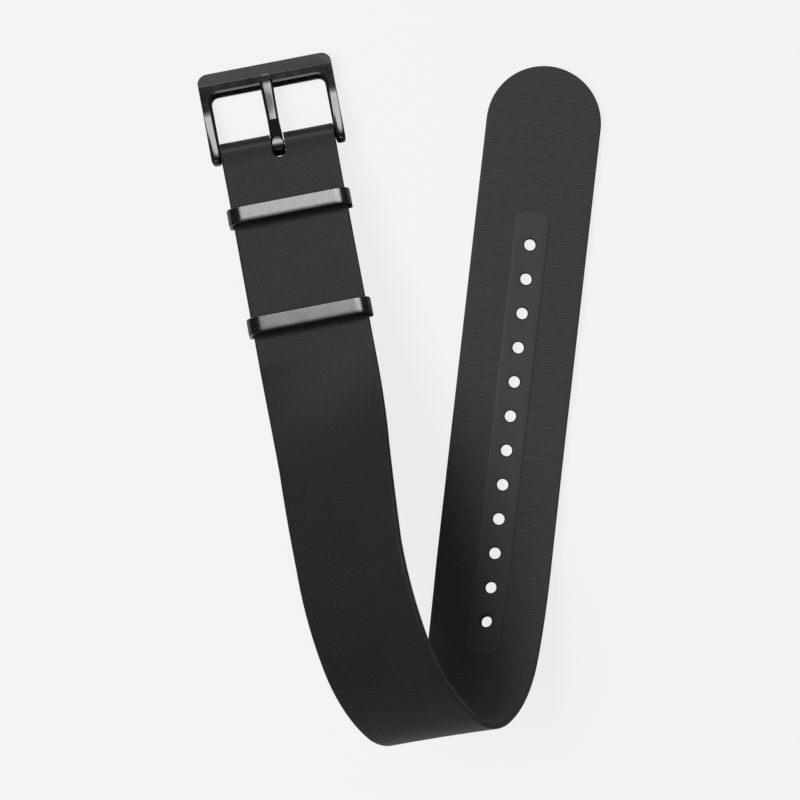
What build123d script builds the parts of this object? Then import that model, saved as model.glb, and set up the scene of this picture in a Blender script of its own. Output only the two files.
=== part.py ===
from build123d import *
import math
import os

os.makedirs("parts", exist_ok=True)

# A one-piece rubber watch strap with a tang buckle, folded over on a table.
# Millimetres, +Z up. The tail lies flat with its back up and its round tip towards +Y.
# The origin is on the table under the centre of the tip's arc.

# Strap
strap_width = 22.0
strap_thickness = 1.4
tail_flat_length = 71.0
loop_length = 148.0
buckle_end_length = 42.0

# How the lifted loop lies: one value for each stretch, from the tail to the buckle end.
# The lengths are shares of loop_length, and the angles are in degrees.
loop_length_shares = (0.06, 0.10, 0.13, 0.10, 0.10, 0.11, 0.13, 0.13, 0.14)
loop_bend_angles = (2.5, 2.5, 12.5, 41.0, 66.0, 43.5, 23.5, 4.5, -15.0)
loop_twist_angles = (0.0, -5.0, -16.0, -15.0, -11.0, -3.5, -2.0, -8.5, -18.0)
sections_per_stretch = 6

# Adjusting holes and the smooth strip raised round them
hole_count = 12
hole_diameter = 2.2
hole_pitch = 6.62
tip_to_first_hole = 34.5
strip_width = 6.7
strip_relief = 0.15
strip_end_chamfer = 1.6
strip_margin = 6.9
cut_overrun = 1.0

# Spring bar that strap, tongue and frame share
bar_diameter = 1.8
bar_bore = 1.3
bar_lip_length = 0.5
bar_end_gap = 0.2
pivot_diameter = 0.9
pivot_fit = 0.05
pivot_engagement = 1.1
pivot_hole_spare = 0.2
head_length = 1.0
head_fit = 0.05
spring_wire = 0.22
spring_wire_sides = 4
spring_fit = 0.06
spring_turns = 6
spring_end_gap = 0.03
head_stop_gap = 0.02

# Doubled buckle end: the strap turns round the bar and is bonded to its own back
bar_gap = 0.1
flap_thickness = 1.1
flap_length = 41.0
flap_tip_taper = 2.0
fold_slope_run = 4.6
slot_width = 2.6
slot_reach = 2.85
slot_corner = 1.2

# Keepers and the pockets that hold them
keeper_band = 3.2
keeper_side_wall = 0.65
keeper_side_gap = 0.2
keeper_top_wall = 0.8
keeper_bottom_wall = 0.7
keeper_headroom = 1.6
keeper_corner = 2.3
keeper_bottom_corner = 0.6
keeper_bevel = 0.4
near_keeper_distance = 13.2
keeper_spacing = 21.6
pocket_height = 1.6
pocket_end_gap = 0.3
pocket_slope_angle = 45.0

# Buckle frame, lying level while the strap comes down to it
frame_pitch = 11.2
frame_side_gap = 0.1
arm_width = 1.9
arm_end_radius = 1.65
arm_level_length = 2.9
frame_reach = 16.2
frame_thickness = 2.4
crossbar_depth = 4.8
crossbar_bevel_width = 2.4
crossbar_bevel_drop = 1.2
crossbar_inner_bevel = 0.9
frame_corner = 1.9
window_corner = 1.4
frame_outer_bevel = 0.3
arm_inner_bevel = 0.5
arm_end_bevel = 0.3
bevel_overrun_share = 0.5

# Tongue
tongue_bar_fit = 0.05
tongue_width = 2.2
tongue_tip_width = 2.5
tongue_tip_end_width = 1.8
tongue_thickness = 0.95
tongue_tip_thickness = 0.7
tongue_overlap = 2.55
tongue_tip_flat = 1.6
tongue_tip_gap = 0.03
tongue_crest_reach = 5.0
tongue_crest_height = 1.75
tongue_root_height = 0.9
tongue_bevel = 0.4
tongue_boss_reach = 1.8
tongue_boss_angle = 11.0
tongue_boss_corner = 1.05

bar_radius = bar_diameter / 2
bore_radius = bar_radius + bar_gap
fold_radius = bore_radius + strap_thickness
frame_inner_width = strap_width + 2 * frame_side_gap
frame_width = frame_inner_width + 2 * arm_width
half_inner_width = frame_inner_width / 2
window_reach = frame_reach - crossbar_depth
arm_flat_end = window_reach - arm_level_length
tongue_reach = window_reach + tongue_overlap
crossbar_top = frame_thickness - fold_radius
knuckle_radius = bar_radius + tongue_bar_fit + tongue_thickness
pivot_radius = pivot_diameter / 2
pivot_reach = half_inner_width + pivot_engagement
tube_reach = half_inner_width - bar_end_gap
head_reach = tube_reach - bar_lip_length - head_stop_gap


def carried(plane, run, bend, twist):
    """A section plane carried along a stretch of constant bend and twist, a helical arc."""
    turn = plane.x_dir * -math.radians(bend) + plane.z_dir * -math.radians(twist)
    angle = turn.length
    if not angle:
        return Plane(origin=plane.origin + plane.z_dir * run, x_dir=plane.x_dir, z_dir=plane.z_dir)
    axis = turn.normalized()
    along = axis * plane.z_dir.dot(axis)
    across = plane.z_dir - along
    aside = axis.cross(across)
    travel = along + across * (math.sin(angle) / angle) + aside * ((1 - math.cos(angle)) / angle)
    spin = Axis((0, 0, 0), axis)
    return Plane(
        origin=plane.origin + travel * run,
        x_dir=plane.x_dir.rotate(spin, math.degrees(angle)),
        z_dir=plane.z_dir.rotate(spin, math.degrees(angle)),
    )


# Section planes look along the strap from the tail: x across it, y out of the tail's upper face.
loop_start = Plane(
    origin=(0, strap_width / 2 - tail_flat_length, strap_thickness / 2),
    x_dir=(1, 0, 0),
    z_dir=(0, -1, 0),
)
loop_stretches = [
    (share * loop_length, bend, twist)
    for share, bend, twist in zip(loop_length_shares, loop_bend_angles, loop_twist_angles)
]


def section_at(distance):
    """The section plane of the strap at a distance from the tail's tip."""
    left = distance - tail_flat_length
    plane = loop_start
    if left <= 0:
        return carried(plane, left, 0, 0)
    for length, bend, twist in loop_stretches:
        part = min(left / length, 1)
        plane = carried(plane, length * part, bend * part, twist * part)
        left -= length * part
    return carried(plane, left, 0, 0)


loop_sections = [loop_start]
for length, bend, twist in loop_stretches:
    for _ in range(sections_per_stretch):
        loop_sections.append(
            carried(
                loop_sections[-1],
                length / sections_per_stretch,
                bend / sections_per_stretch,
                twist / sections_per_stretch,
            )
        )

# Bar plane: origin on the bar's axis, x along the bar, y towards the crossbar, z out of the strap's front.
end_section = section_at(tail_flat_length + loop_length + buckle_end_length)
bar_offset = bore_radius + strap_thickness / 2
bar_plane = Plane(
    origin=end_section.origin + end_section.y_dir * bar_offset,
    x_dir=end_section.x_dir,
    z_dir=-end_section.y_dir,
)
# The frame turns up about the bar from the strap's slope until it lies level.
frame_plane = Plane(
    origin=bar_plane.origin,
    x_dir=bar_plane.x_dir,
    z_dir=bar_plane.z_dir.rotate(Axis((0, 0, 0), bar_plane.x_dir), frame_pitch),
)


def side_plane(plane):
    """The plane of side profiles: x towards the crossbar, y out of the front."""
    return Plane(origin=plane.origin, x_dir=plane.y_dir, z_dir=plane.x_dir)


def front_plane(plane, distance):
    """The plane across the strap at a distance along it: x along the bar, y out of the front."""
    return Plane(origin=plane.origin + plane.y_dir * distance, x_dir=plane.x_dir, z_dir=-plane.y_dir)


# Strap: tail, loop and doubled end, then the strip, the slot and the holes
weld_level = bore_radius - flap_thickness
pocket_length = keeper_band + 2 * pocket_end_gap
pocket_middle = bore_radius - pocket_height / 2
bulge_run = pocket_height / math.tan(math.radians(pocket_slope_angle))
keeper_distances = (near_keeper_distance, near_keeper_distance + keeper_spacing)
hole_distances = [tip_to_first_hole + index * hole_pitch for index in range(hole_count)]
strip_start = hole_distances[0] - strip_margin
strip_end = hole_distances[-1] + strip_margin
strip_end_width = strip_width - 2 * strip_end_chamfer
strip_middles = 10
strip_stations = [(strip_start, strip_end_width), (strip_start + strip_end_chamfer, strip_width)]
for step in range(strip_middles + 1):
    lifted = (strip_end - strip_end_chamfer - tail_flat_length) * step / strip_middles
    strip_stations.append((tail_flat_length + lifted, strip_width))
strip_stations.append((strip_end, strip_end_width))

with BuildPart() as strap:
    with BuildSketch(Plane.XY):
        Circle(strap_width / 2)
        with Locations((0, (strap_width / 2 - tail_flat_length) / 2)):
            Rectangle(strap_width, tail_flat_length - strap_width / 2)
    extrude(amount=strap_thickness)

    for plane in loop_sections:
        with BuildSketch(plane):
            Rectangle(strap_width, strap_thickness)
    loft()

    with BuildSketch(side_plane(bar_plane)):
        Circle(fold_radius)
        with Locations((-buckle_end_length / 2, bar_offset)):
            Rectangle(buckle_end_length, strap_thickness)
        with BuildLine():
            Polyline(
                (0, bore_radius),
                (-flap_length, bore_radius),
                (-flap_length + flap_tip_taper, weld_level),
                (-fold_slope_run, weld_level),
                (0, -fold_radius),
                close=True,
            )
        make_face()
        for distance in keeper_distances:
            with BuildLine():
                Polyline(
                    (-distance - pocket_length / 2 - bulge_run, weld_level),
                    (-distance - pocket_length / 2, weld_level - pocket_height),
                    (-distance + pocket_length / 2, weld_level - pocket_height),
                    (-distance + pocket_length / 2 + bulge_run, weld_level),
                    close=True,
                )
            make_face()
        Circle(bore_radius, mode=Mode.SUBTRACT)
        with Locations([(-distance, pocket_middle) for distance in keeper_distances]):
            Rectangle(pocket_length, pocket_height, mode=Mode.SUBTRACT)
    extrude(amount=strap_width / 2, both=True)

    # Smooth strip, its ends narrowed by a chamfer
    for distance, width in strip_stations:
        with BuildSketch(section_at(distance)):
            with Locations((0, strap_thickness / 2)):
                Rectangle(width, 2 * strip_relief)
    loft(ruled=True)

    # Slot in the fold that the tongue swings in
    with BuildSketch(bar_plane) as slot:
        with Locations((0, (fold_radius + cut_overrun - slot_reach) / 2)):
            Rectangle(slot_width, fold_radius + cut_overrun + slot_reach)
        fillet(slot.vertices().group_by(Axis.Y)[0], slot_corner)
    extrude(amount=fold_radius + cut_overrun, both=True, mode=Mode.SUBTRACT)

    # Adjusting holes, square to the strap wherever they lie on the loop
    for distance in hole_distances:
        section = section_at(distance)
        with BuildSketch(Plane(origin=section.origin, x_dir=section.x_dir, z_dir=section.y_dir)):
            Circle(hole_diameter / 2)
    extrude(amount=strap_thickness, both=True, mode=Mode.SUBTRACT)
strap.part.label = "strap"
export_step(strap.part, "parts/strap.step")

# Buckle frame: the plan outline cut by the side profile, then the top edges bevelled
arm_slope = math.asin(arm_end_radius / arm_flat_end)
crease_plane = Plane(
    origin=frame_plane.origin + frame_plane.y_dir * arm_flat_end + frame_plane.z_dir * crossbar_top,
    x_dir=frame_plane.x_dir,
    z_dir=frame_plane.z_dir * math.sin(arm_slope) - frame_plane.y_dir * math.cos(arm_slope),
)
arm_run = arm_flat_end + arm_end_radius


def on_outer_top(edge):
    """Whether an edge runs along the outer side of the frame's top."""
    middle = frame_plane.to_local_coords(edge.center())
    lengthwise = abs((edge % 0.5).dot(frame_plane.x_dir)) < 0.5
    at_top = middle.Z > crossbar_top - frame_outer_bevel / 2
    off_bevel = middle.Y < frame_reach - crossbar_bevel_width
    at_side = abs(middle.X) > frame_width / 2 - frame_outer_bevel
    return lengthwise and at_top and off_bevel and at_side


with BuildPart() as buckle_frame:
    with BuildSketch(frame_plane) as plan:
        with Locations((0, (frame_reach - arm_end_radius) / 2)):
            Rectangle(frame_width, frame_reach + arm_end_radius)
        fillet(plan.vertices().group_by(Axis.Y)[-1], frame_corner)
        with BuildSketch(mode=Mode.SUBTRACT) as window:
            with Locations((0, (window_reach - arm_end_radius - cut_overrun) / 2)):
                Rectangle(frame_inner_width, window_reach + arm_end_radius + cut_overrun)
            fillet(window.vertices().group_by(Axis.Y)[-1], window_corner)
    extrude(amount=fold_radius + arm_end_radius, both=True)

    with BuildSketch(side_plane(frame_plane)):
        with BuildSketch():
            with BuildLine():
                arm_end = CenterArc((0, 0), arm_end_radius, 0, 360)
                Line((arm_flat_end, crossbar_top), (arm_flat_end, crossbar_top - frame_thickness))
            make_hull()
        with BuildLine():
            Polyline(
                (arm_flat_end, crossbar_top - frame_thickness),
                (frame_reach, crossbar_top - frame_thickness),
                (frame_reach, crossbar_top - crossbar_bevel_drop),
                (frame_reach - crossbar_bevel_width, crossbar_top),
                (arm_flat_end, crossbar_top),
                close=True,
            )
        make_face()
    extrude(amount=frame_width, both=True, mode=Mode.INTERSECT)

    chamfer(buckle_frame.edges().filter_by(on_outer_top), frame_outer_bevel)

    # Inner bevel, broad along the crossbar, then up both arms, where it narrows
    for level, end_bevel, side_bevel in (
        (crossbar_top - crossbar_inner_bevel, 0, 0),
        (crossbar_top, crossbar_inner_bevel, arm_inner_bevel),
    ):
        with BuildSketch(frame_plane.offset(level)) as window_end:
            with Locations((0, (arm_flat_end + window_reach + end_bevel) / 2)):
                Rectangle(frame_inner_width + 2 * side_bevel, window_reach + end_bevel - arm_flat_end)
            fillet(window_end.vertices().group_by(Axis.Y)[-1], window_corner + side_bevel)
    loft(ruled=True, mode=Mode.SUBTRACT)
    for side in (-1, 1):
        for plane, width, depth in (
            (crease_plane, arm_inner_bevel, crossbar_inner_bevel),
            (crease_plane.offset(arm_run), arm_end_bevel, arm_end_bevel),
        ):
            with BuildSketch(plane):
                inside = half_inner_width - bevel_overrun_share * width
                outside = half_inner_width + width + bevel_overrun_share * width
                above = bevel_overrun_share * depth
                with BuildLine():
                    Polyline(
                        (side * inside, above),
                        (side * inside, -depth - above),
                        (side * outside, above),
                        close=True,
                    )
                make_face()
        loft(ruled=True, mode=Mode.SUBTRACT)

    # Blind holes for the bar's pivots
    with BuildSketch(side_plane(frame_plane)):
        Circle(pivot_diameter / 2 + pivot_fit)
    extrude(amount=pivot_reach + pivot_hole_spare, both=True, mode=Mode.SUBTRACT)
buckle_frame.part.label = "buckle_frame"
export_step(buckle_frame.part, "parts/buckle_frame.step")

# Spring bar: tube with crimped ends, two sprung pins and the coil between them
bar_axis = Axis(frame_plane.origin, frame_plane.x_dir)
with BuildPart() as bar_tube:
    with BuildSketch(frame_plane):
        lip_radius = pivot_radius + pivot_fit
        for side in (-1, 1):
            with Locations((side * (tube_reach - bar_lip_length / 2), lip_radius)):
                Rectangle(bar_lip_length, bar_radius - lip_radius, align=(Align.CENTER, Align.MIN))
        with Locations((0, bar_bore / 2)):
            Rectangle(2 * tube_reach, bar_radius - bar_bore / 2, align=(Align.CENTER, Align.MIN))
    revolve(axis=bar_axis)
bar_tube.part.label = "bar_tube"
export_step(bar_tube.part, "parts/bar_tube.step")


def pivot_pin(side):
    """The sprung pin at one end of the bar: a head inside the tube and a pivot in the arm."""
    with BuildPart() as pin:
        with BuildSketch(frame_plane):
            with Locations((side * (head_reach - head_length / 2), 0)):
                Rectangle(head_length, bar_bore / 2 - head_fit, align=(Align.CENTER, Align.MIN))
            with Locations((side * (head_reach + pivot_reach) / 2, 0)):
                Rectangle(pivot_reach - head_reach, pivot_radius, align=(Align.CENTER, Align.MIN))
        revolve(axis=bar_axis)
        pivot_end = pin.edges().filter_by(GeomType.CIRCLE).sort_by(bar_axis)[-1 if side > 0 else 0]
        chamfer(pivot_end, pivot_radius / 3)
    return pin.part


for name, side in (("bar_tip_left", -1), ("bar_tip_right", 1)):
    tip = pivot_pin(side)
    tip.label = name
    export_step(tip, f"parts/{name}.step")

spring_radius = bar_bore / 2 - spring_fit - spring_wire / 2
spring_reach = head_reach - head_length - spring_wire / 2 - spring_end_gap
with BuildPart() as bar_spring:
    with BuildLine() as coil:
        Helix(
            pitch=2 * spring_reach / spring_turns,
            height=2 * spring_reach,
            radius=spring_radius,
            center=frame_plane.origin - frame_plane.x_dir * spring_reach,
            direction=frame_plane.x_dir,
        )
    with BuildSketch(coil.line ^ 0):
        RegularPolygon(spring_wire / 2, spring_wire_sides)
    sweep(is_frenet=True)
bar_spring.part.label = "bar_spring"
export_step(bar_spring.part, "parts/bar_spring.step")

# Tongue: the knuckle it turns on, with a sloping round-nosed boss, and an arched shank with bevelled edges
boss_slope = math.radians(tongue_boss_angle)
tongue_boss_top = (knuckle_radius - tongue_boss_reach * math.sin(boss_slope)) / math.cos(boss_slope)
tongue_tip_top = crossbar_top + tongue_tip_gap + tongue_tip_thickness
tongue_stations = (
    (0, tongue_width, tongue_root_height, tongue_thickness),
    (tongue_boss_reach, tongue_width, tongue_root_height, tongue_thickness),
    (tongue_crest_reach, tongue_width, tongue_crest_height, tongue_thickness),
    (tongue_reach - tongue_tip_flat, tongue_tip_width, tongue_tip_top, tongue_tip_thickness),
    (tongue_reach, tongue_tip_end_width, tongue_tip_top, tongue_tip_thickness),
)
with BuildPart() as buckle_tongue:
    with BuildSketch(frame_plane) as boss:
        with Locations((0, (tongue_boss_reach - knuckle_radius) / 2)):
            Rectangle(tongue_width, tongue_boss_reach + knuckle_radius)
        fillet(boss.vertices().group_by(Axis.Y)[-1], tongue_boss_corner)
    extrude(amount=knuckle_radius, both=True)
    with BuildSketch(side_plane(frame_plane)):
        with BuildLine():
            CenterArc((0, 0), knuckle_radius, 0, 360)
            Line((tongue_boss_reach, 0), (tongue_boss_reach, tongue_boss_top))
        make_hull()
    extrude(amount=tongue_width, both=True, mode=Mode.INTERSECT)

    for reach, width, top, thickness in tongue_stations:
        with BuildSketch(front_plane(frame_plane, reach)):
            with BuildLine():
                Polyline(
                    (-width / 2, top - thickness),
                    (width / 2, top - thickness),
                    (width / 2, top - tongue_bevel),
                    (width / 2 - tongue_bevel, top),
                    (-width / 2 + tongue_bevel, top),
                    (-width / 2, top - tongue_bevel),
                    close=True,
                )
            make_face()
    loft(ruled=True)

    with BuildSketch(side_plane(frame_plane)):
        Circle(bar_radius + tongue_bar_fit)
    extrude(amount=tongue_width, both=True, mode=Mode.SUBTRACT)
buckle_tongue.part.label = "buckle_tongue"
export_step(buckle_tongue.part, "parts/buckle_tongue.step")


def keeper_at(distance):
    """A keeper ring whose lower bar lies in the strap's pocket at a distance behind the bar."""
    ring_bottom = pocket_middle - keeper_bottom_wall / 2
    hollow_top = fold_radius + keeper_headroom
    ring_top = hollow_top + keeper_top_wall
    hollow_bottom = ring_bottom + keeper_bottom_wall
    hollow_width = strap_width + 2 * keeper_side_gap
    with BuildPart() as keeper:
        with BuildSketch(front_plane(bar_plane, -distance)) as ring:
            with Locations((0, (ring_bottom + ring_top) / 2)):
                Rectangle(hollow_width + 2 * keeper_side_wall, ring_top - ring_bottom)
            fillet(ring.vertices().group_by(Axis.Y)[-1], keeper_corner)
            fillet(ring.vertices().group_by(Axis.Y)[0], keeper_bottom_corner)
            with BuildSketch(mode=Mode.SUBTRACT) as hollow:
                with Locations((0, (hollow_bottom + hollow_top) / 2)):
                    Rectangle(hollow_width, hollow_top - hollow_bottom)
                fillet(hollow.vertices().group_by(Axis.Y)[-1], keeper_corner - keeper_top_wall)
        extrude(amount=keeper_band / 2, both=True)
        with BuildSketch(side_plane(bar_plane)) as band:
            with Locations((-distance, (ring_bottom + ring_top) / 2)):
                Rectangle(keeper_band, ring_top - ring_bottom)
            chamfer(band.vertices().group_by(Axis.Y)[-1], keeper_bevel)
        extrude(amount=strap_width, both=True, mode=Mode.INTERSECT)
    return keeper.part


for name, distance in zip(("keeper_near_buckle", "keeper_far_from_buckle"), keeper_distances):
    ring = keeper_at(distance)
    ring.label = name
    export_step(ring, f"parts/{name}.step")
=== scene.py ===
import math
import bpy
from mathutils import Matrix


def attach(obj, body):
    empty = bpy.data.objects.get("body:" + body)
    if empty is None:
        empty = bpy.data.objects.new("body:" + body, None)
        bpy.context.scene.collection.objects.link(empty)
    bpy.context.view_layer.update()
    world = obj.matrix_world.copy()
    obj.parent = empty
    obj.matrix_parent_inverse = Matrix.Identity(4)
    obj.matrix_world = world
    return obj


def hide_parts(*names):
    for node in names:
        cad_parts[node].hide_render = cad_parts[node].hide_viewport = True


bl_info = {
    "name": "Rubber Pass-Through Watch Strap",
    "version": (1, 0, 0),
    "blender": (4, 5, 0),
    "location": "View3D > Sidebar > Strap",
    "description": "Dresses the packed watch strap: moulded band, hole strip, flap, dark buckle and keepers",
    "category": "Add Mesh",
}

import bmesh
import bpy
from bpy.props import (
    FloatProperty,
    FloatVectorProperty,
    IntProperty,
    PointerProperty,
)
from bpy.types import Operator, Panel, PropertyGroup
from mathutils import Matrix, Quaternion, Vector

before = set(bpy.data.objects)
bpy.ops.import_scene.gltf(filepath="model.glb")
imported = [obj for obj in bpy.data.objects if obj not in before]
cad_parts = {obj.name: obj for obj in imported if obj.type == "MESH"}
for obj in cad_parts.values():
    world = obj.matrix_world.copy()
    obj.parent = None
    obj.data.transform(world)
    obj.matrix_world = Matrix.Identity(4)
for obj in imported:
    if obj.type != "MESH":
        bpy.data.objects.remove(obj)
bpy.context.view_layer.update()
MM = 0.001
TAU = 2 * math.pi
QUARTER = math.pi / 2
TINY = 1e-9
CREASE_ANGLE = math.radians(35)
FRAME_CREASE_ANGLE = math.radians(20)
KEEPER_CREASE_ANGLE = math.radians(50)
BEVEL_ANGLE = math.radians(40)
STRAIGHT_ANGLE = 0.01
OVERRUN = 1 * MM

# Mesh spacing along the rubber, and cells on each side of a hole and of the slot
ROW_STEP = 0.9 * MM
SLOT_STEP = 0.3 * MM
FOLD_STEP = 0.2 * MM
HOLE_PATCH = 2 * MM
PATCH_CELLS = 4
SLOT_CELLS = 3
TIP_STEPS = 40
CORNER_STEPS = 8
BORE_STEPS = 8

# Mesh spacing of the metal pieces
ARM_END_STEPS = 14
FRAME_CORNER_STEPS = 9
BAR_STEPS = 8
CREASE_CELLS = 5
PIVOT_SIDES = 24
SHANK_STEP = 0.8 * MM
ARCH_STEP = 0.35 * MM
SHANK_EDGE_STEPS = 5
KNUCKLE_STEPS = 29
KNUCKLE_CELLS = 6
RING_STEPS = 18
RING_EDGE_STEPS = 7

# Places of mesh lines and rings, each as shares of the size that it follows
COLUMN_SHARES = (0, 0.092, 0.196, 0.311, 0.438, 0.565, 0.691, 0.806, 0.899, 0.956, 1)
SLOT_CORNER_SHARES = (0, 0.04, 0.15, 0.35, 0.65)
HOLE_MOUTH_SHARES = ((1, 0), (15 / 26, 5 / 28), (5 / 26, 0.5), (0, 1))
SHOULDER_SHARE = 0.35
SHOULDER_DROP_SHARE = 0.25
SIDE_SHARE = 0.49
CROWN_SHARES = (0.02, 0.1, 0.2, 0.3, 0.4, 0.48, 0.58, 0.68, 0.8, 0.92)
LIP_FALL_SHARE = 0.55
BAR_FALL_SHARE = 1.2
ARM_FALL_SHARE = 0.8
EDGE_KNEE_SHARE = 0.3
END_START_SHARE = 0.02
END_WIDTH_SHARE = 0.3
CORNER_BLEND_SHARE = 0.25
TIP_ROUND_SHARES = (1, 0.6, 0.3, 0.1, 0)
TIP_END_SHARE = 0.05
TIP_WIDTH_SHARE = 0.85
TIP_HEIGHT_SHARE = 0.9
TIP_EDGE_SHARE = 1 / 3
SHANK_EDGE_SHARE = 0.75
WAVE_FADE_SHARE = 0.35
KNUCKLE_EDGE_SHARES = (0, 0.25, 0.7, 1.4)
KNUCKLE_CELL_SHARE = 0.12
BOSS_EDGE_SHARES = (0.3, 0.2, 0.9)

# Octaves of the richer noises, mix of the grain's octaves, and rays that soften a metal edge
RICH_DETAIL = 3.0
GRAIN_MIX = 0.6
EDGE_RAYS = 6

# Ranges of a noise, of the surface's bend and of the ribs' height over which a material changes
PATCHES = (0.3, 0.7)
WORN_PATCHES = (0.35, 0.7)
STREAKS = (0.3, 0.6)
GRAINS = (0.2, 0.8)
SMUDGES = (0.3, 0.75)
FLECKS = (0.4, 0.8)
CORNERS = (0.52, 0.6)
GROOVES = (0.0, 0.6)

# Lamps: name, strength, distance, degrees to the north and to the east, width, height, rays that miss it
LAMPS = (
    ("softbox_north", "softbox", 1.0, 34, 0, 0.88, 0.3, "visible_diffuse"),
    ("softbox_fringe", "fringe", 1.0, 20, 0, 0.88, 0.14, "visible_diffuse"),
    ("card_north", "card", 1.0, 60, 0, 0.9, 0.25, "visible_diffuse"),
    ("strip_south", "strip", 1.1, -50, 0, 0.9, 0.16, "visible_diffuse"),
    ("side_panel", "side", 1.0, -1, -33, 0.8, 0.5, "visible_glossy"),
)


def length(name, description, default):
    """A length property in metres, its default written in millimetres."""
    return FloatProperty(
        name=name, description=description, default=default * MM, min=0, unit="LENGTH", precision=5
    )


def number(name, description, default, top=1.0):
    """A plain number property."""
    return FloatProperty(name=name, description=description, default=default, min=0, max=top)


def angle(name, description, default):
    """An angle property, its default written in degrees."""
    return FloatProperty(name=name, description=description, default=math.radians(default), subtype="ANGLE")


def places(name, description, default):
    """Four places along a line in metres, their defaults written in millimetres."""
    return FloatVectorProperty(
        name=name, description=description, default=[place * MM for place in default], size=4, unit="LENGTH"
    )


def colour(name, description, default):
    """A linear colour property."""
    return FloatVectorProperty(
        name=name, description=description, default=default, size=3, min=0, max=1, subtype="COLOR"
    )


class StrapBandSettings(PropertyGroup):
    """Sizes of the moulded band."""

    width: length("Width", "Width of the band", 22)
    thickness: length("Thickness", "Thickness of the band", 1.4)
    edge_radius: length("Edge radius", "Rounding along the band's edges", 0.32)
    tail: length("Flat tail", "Length of the tail that lies flat, from its tip", 71)
    loop: length("Loop", "Length of the lifted loop", 148)
    doubled: length("Doubled end", "Length from the loop to the buckle's bar", 42)
    loop_shares: FloatVectorProperty(
        name="Loop shares",
        description="Share of the loop that each stretch takes, from the tail on",
        size=9,
        default=(0.06, 0.10, 0.13, 0.10, 0.10, 0.11, 0.13, 0.13, 0.14),
    )
    loop_bends: FloatVectorProperty(
        name="Loop bends",
        description="Bend of each stretch, in degrees",
        size=9,
        default=(2.5, 2.5, 12.5, 41.0, 66.0, 43.5, 23.5, 4.5, -15.0),
    )
    loop_twists: FloatVectorProperty(
        name="Loop twists",
        description="Twist of each stretch, in degrees",
        size=9,
        default=(0.0, -5.0, -16.0, -15.0, -11.0, -3.5, -2.0, -8.5, -18.0),
    )
    hole_count: IntProperty(name="Holes", description="Number of adjusting holes", default=12, min=1)
    hole_diameter: length("Hole diameter", "Diameter of an adjusting hole", 2.2)
    hole_pitch: length("Hole pitch", "Distance between adjusting holes", 6.62)
    first_hole: length("First hole", "Distance from the tip to the first hole", 34.5)
    strip_width: length("Strip width", "Width of the smooth strip round the holes", 6.7)
    strip_margin: length("Strip margin", "Strip beyond the first and last hole", 6.4)
    strip_corner: length("Strip corner", "Corner radius of the strip", 1.9)
    strip_relief: length("Strip relief", "Height of the strip over the band", 0.15)
    strip_slope: length("Strip slope", "Width of the strip's sloping edge", 0.16)
    strip_seat: length("Strip seat", "How deep the strip is set into the band", 0.03)
    hole_mouth: length("Hole mouth", "Widening of a hole at the strip's top", 0.26)
    hole_mouth_depth: length("Hole mouth depth", "Depth of a hole's widened mouth", 0.28)
    hole_rim: length("Hole rim", "Rounding of a hole's lower edge", 0.13)
    rib_pitch: length("Rib pitch", "Distance between the fine cross ribs", 0.5)
    rib_height: length("Rib height", "Height of the cross ribs", 0.035)


class FoldSettings(PropertyGroup):
    """Sizes of the end that is folded round the bar and bonded to its own back."""

    bore_radius: length("Bore radius", "Radius of the bore round the bar", 1.0)
    flap_thickness: length("Flap thickness", "Thickness of the bonded flap", 1.1)
    flap_length: length("Flap length", "Length of the flap behind the bar", 41)
    flap_taper: length("Flap taper", "Length over which the flap's tip thins out", 2)
    slope_run: length("Slope run", "Run from the fold up to the band's back", 4.6)
    slot_width: length("Slot width", "Width of the tongue's slot", 2.6)
    slot_reach: length("Slot reach", "Reach of the slot behind the bar", 2.85)
    slot_corner: length("Slot corner", "Corner radius of the slot's end", 1.2)
    slot_shift: length("Slot shift", "How far the slot lies right of the strap's middle", 0.08)
    slot_mouth: length("Slot mouth", "Widening of the slot at the front of the fold", 0.25)
    slot_relief: length("Slot relief", "How much longer the slot is in the flap than in the band", 0.4)
    pocket_height: length("Pocket height", "Height of a keeper's pocket", 1.6)
    pocket_length: length("Pocket length", "Length of a keeper's pocket", 3.8)
    near_keeper: length("Near keeper", "Distance from the bar to the near keeper", 13.2)
    keeper_spacing: length("Keeper spacing", "Distance between the two keepers", 21.6)
    soft_corner: length("Soft corner", "Rounding of the moulded flap", 0.45)
    flare: length("Flare", "Widening of each edge towards the fold", 0.08)
    flare_run: length("Flare run", "Length over which the edges widen", 9)
    crown_run: length("Crown run", "Run of the fold's flat back behind the bar", 0.9)
    crown_drop: length("Crown drop", "How much the fold's back thins over that run", 0.18)
    slope_blend: length("Slope blend", "Radius where the slope meets the level flap", 1.6)
    pocket_blend: length("Pocket blend", "Radius where a pocket's bulge meets the level flap", 1.2)
    pocket_corner: length("Pocket corner", "Radius of a pocket's bulge", 1.0)
    tip_blend: length("Tip blend", "Radius where the flap starts to thin out", 1.5)
    tip_height: length("Tip height", "Height of the flap at its tip", 0.1)
    tip_corner: length("Tip corner", "Corner radius of the flap's tip", 0.05)
    bond: length("Bond", "How deep the flap is set into the band", 0.02)
    side_inset: length("Side inset", "How far the flap's sides lie inside the band's", 0.01)
    flap_edge: length("Flap edge", "Rounding of the flap's edges", 0.22)


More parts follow.
